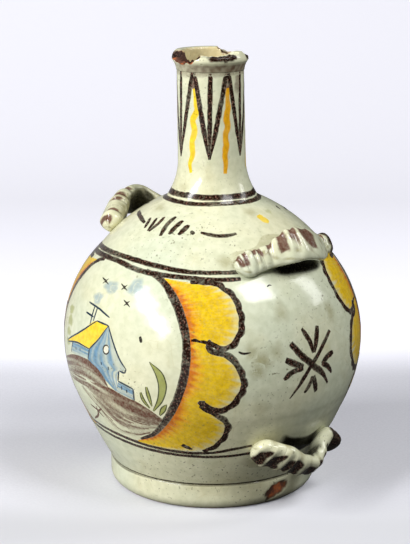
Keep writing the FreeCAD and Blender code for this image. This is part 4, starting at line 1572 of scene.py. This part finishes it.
# Darker paper at the front edge: painted shade
PAPER_FRONT = (0.63, 0.635, 0.67)
PAPER_SHADED_LEFT = (0.50, 0.50, 0.50)
PAPER_SHADED_RIGHT = (0.08, 0.08, 0.08)
PAPER_SHADED_EDGES = (-0.10, 0.02)
PAPER_BACK = (0.36, 0.355, 0.385)
PAPER_FRONT_EDGE = -0.075
PAPER_FRONT_FADE = 0.055
PAPER_BACK_EDGE = 0.155
PAPER_BACK_FADE = 0.080
PAPER_ROUGHNESS = 0.9
PAPER_SHINE = 0.1
PAPER_FIBRE = (700.0, 4.0, 0.3, 0.7)


def stage_material():
    material = bpy.data.materials.new("pale_paper")
    material.use_nodes = True
    tree = Tree(material)
    shader = tree.nodes["Principled BSDF"]
    where = tree.add("ShaderNodeTexCoord").outputs["Object"]
    seen = tree.add("ShaderNodeLightPath").outputs["Is Camera Ray"]

    def distance(direction):
        inputs = {0: where, 1: tuple(direction)}
        return tree.add("ShaderNodeVectorMath", inputs, operation="DOT_PRODUCT").outputs["Value"]

    behind = distance(-TO_CAMERA)
    across = distance(TO_RIGHT)
    paper = tree.mix(tree.blotches(where, *PAPER_FIBRE), PAPER_GREY, PAPER_PALE)
    # Towards the front edge the paper is darker: painted shade that evens out the stronger lamp light there
    front = tree.between(behind, PAPER_FRONT_EDGE + PAPER_FRONT_FADE, PAPER_FRONT_EDGE)
    paper = tree.mix(front, paper, PAPER_FRONT)
    shaded = tree.mix(tree.between(across, *PAPER_SHADED_EDGES), PAPER_SHADED_LEFT, PAPER_SHADED_RIGHT)
    tree.put(shader.inputs["Base Color"], tree.mix(seen, shaded, paper))
    back = tree.between(behind, PAPER_BACK_EDGE, PAPER_BACK_EDGE + PAPER_BACK_FADE)
    tree.put(shader.inputs["Emission Color"], PAPER_BACK)
    tree.put(shader.inputs["Emission Strength"], tree.times(back, seen))
    tree.put(shader.inputs["Roughness"], PAPER_ROUGHNESS)
    tree.put(shader.inputs["Specular IOR Level"], PAPER_SHINE)
    return material


SWEEP_FRONT = 1500.0
SWEEP_BACK = 700.0
SWEEP_BEND = 500.0
SWEEP_TOP = 1800.0
SWEEP_HALF_WIDTH = 2200.0
SWEEP_STEPS = 16
FLOOR_GAP = 0.2


def build_stage():
    bend = arc((SWEEP_BACK, 0), (SWEEP_BACK + SWEEP_BEND, SWEEP_BEND), SWEEP_BEND, 1, SWEEP_STEPS)
    outline = np.vstack(((-SWEEP_FRONT, 0), bend, (SWEEP_BACK + SWEEP_BEND, SWEEP_TOP)))
    points = [side * SWEEP_HALF_WIDTH * TO_RIGHT - back * TO_CAMERA + (height - FLOOR_GAP) * UP
              for back, height in outline for side in (-1, 1)]
    floor = new_piece("paper_sweep", points, lattice(len(outline), 2)[:, ::-1])
    floor.data.materials.append(stage_material())


LAMP_TARGET = np.array((0.0, 0.0, 100.0))
LAMPS = (
    # name, degrees right of the camera, degrees up, distance, width, height, lean to the left, watts
    ("key_softbox", -54.0, 29.0, 1300.0, 170.0, 1000.0, 54.0, 20.5),
    ("side_softbox", 49.0, 50.0, 1200.0, 460.0, 420.0, 0.0, 8.0),
    ("rim_softbox", 100.0, 34.0, 1300.0, 300.0, 700.0, 0.0, 4.2),
)
SKY = (0.90, 0.93, 1.0)
SKY_STRENGTH = 0.05


def build_lights():
    for name, side, rise, distance, width, height, roll, watts in LAMPS:
        side, rise, roll = map(math.radians, (side, rise, roll))
        level = math.cos(side) * TO_CAMERA + math.sin(side) * TO_RIGHT
        place = LAMP_TARGET + distance * (math.cos(rise) * level + math.sin(rise) * UP)
        lamp = bpy.data.lights.new(name, "AREA")
        lamp.shape = "RECTANGLE"
        lamp.size = width * MM
        lamp.size_y = height * MM
        lamp.energy = watts
        holder = bpy.data.objects.new(name, lamp)
        holder.location = place * MM
        aim = Vector(place - LAMP_TARGET).to_track_quat("Z", "Y")
        holder.rotation_euler = (aim @ Quaternion((0.0, 0.0, 1.0), roll)).to_euler()
        bpy.context.scene.collection.objects.link(holder)
    world = bpy.data.worlds.new("studio")
    world.use_nodes = True
    background = world.node_tree.nodes["Background"]
    background.inputs["Color"].default_value = (*SKY, 1.0)
    background.inputs["Strength"].default_value = SKY_STRENGTH
    bpy.context.scene.world = world


SENSOR_HEIGHT = 24.0
CLIP_START = 0.05


def build_camera():
    data = bpy.data.cameras.new("photo_camera")
    data.sensor_fit = "VERTICAL"
    data.sensor_height = SENSOR_HEIGHT
    data.lens = FOCAL / IMAGE_HEIGHT * SENSOR_HEIGHT
    data.shift_x = (IMAGE_WIDTH / 2 - AXIS_COLUMN) / IMAGE_HEIGHT
    data.clip_start = CLIP_START
    camera = bpy.data.objects.new("photo_camera", data)
    camera.location = CAMERA_POINT * MM
    camera.rotation_euler = (math.pi / 2 - CAMERA_PITCH, 0, CAMERA_AZIMUTH)
    bpy.context.scene.collection.objects.link(camera)
    bpy.context.scene.camera = camera


tin_glaze = glaze_material()
build_camera()
build_stage()
build_lights()
build_vessel(tin_glaze)
build_foot(tin_glaze)
build_lip(tin_glaze)
# Painted shade, dark as grime, and tarnish on the wall beside the loops
loop_shade_grime_and_tarnish = Film()
for loop_name, sizes in LOOP_SIZES.items():
    build_loop(tin_glaze, loop_shade_grime_and_tarnish, loop_name, **sizes)
loop_shade_grime_and_tarnish.piece("shade_grime_and_tarnish_under_loops", tin_glaze)
paint_lines(tin_glaze)
paint_neck(tin_glaze)
paint_shoulder(tin_glaze)
paint_stars(tin_glaze)
paint_medallions(tin_glaze)
paint_landscapes(tin_glaze)
paint_stains(tin_glaze)

bpy.context.scene.view_settings.view_transform = "Standard"
bpy.context.view_layer.update()
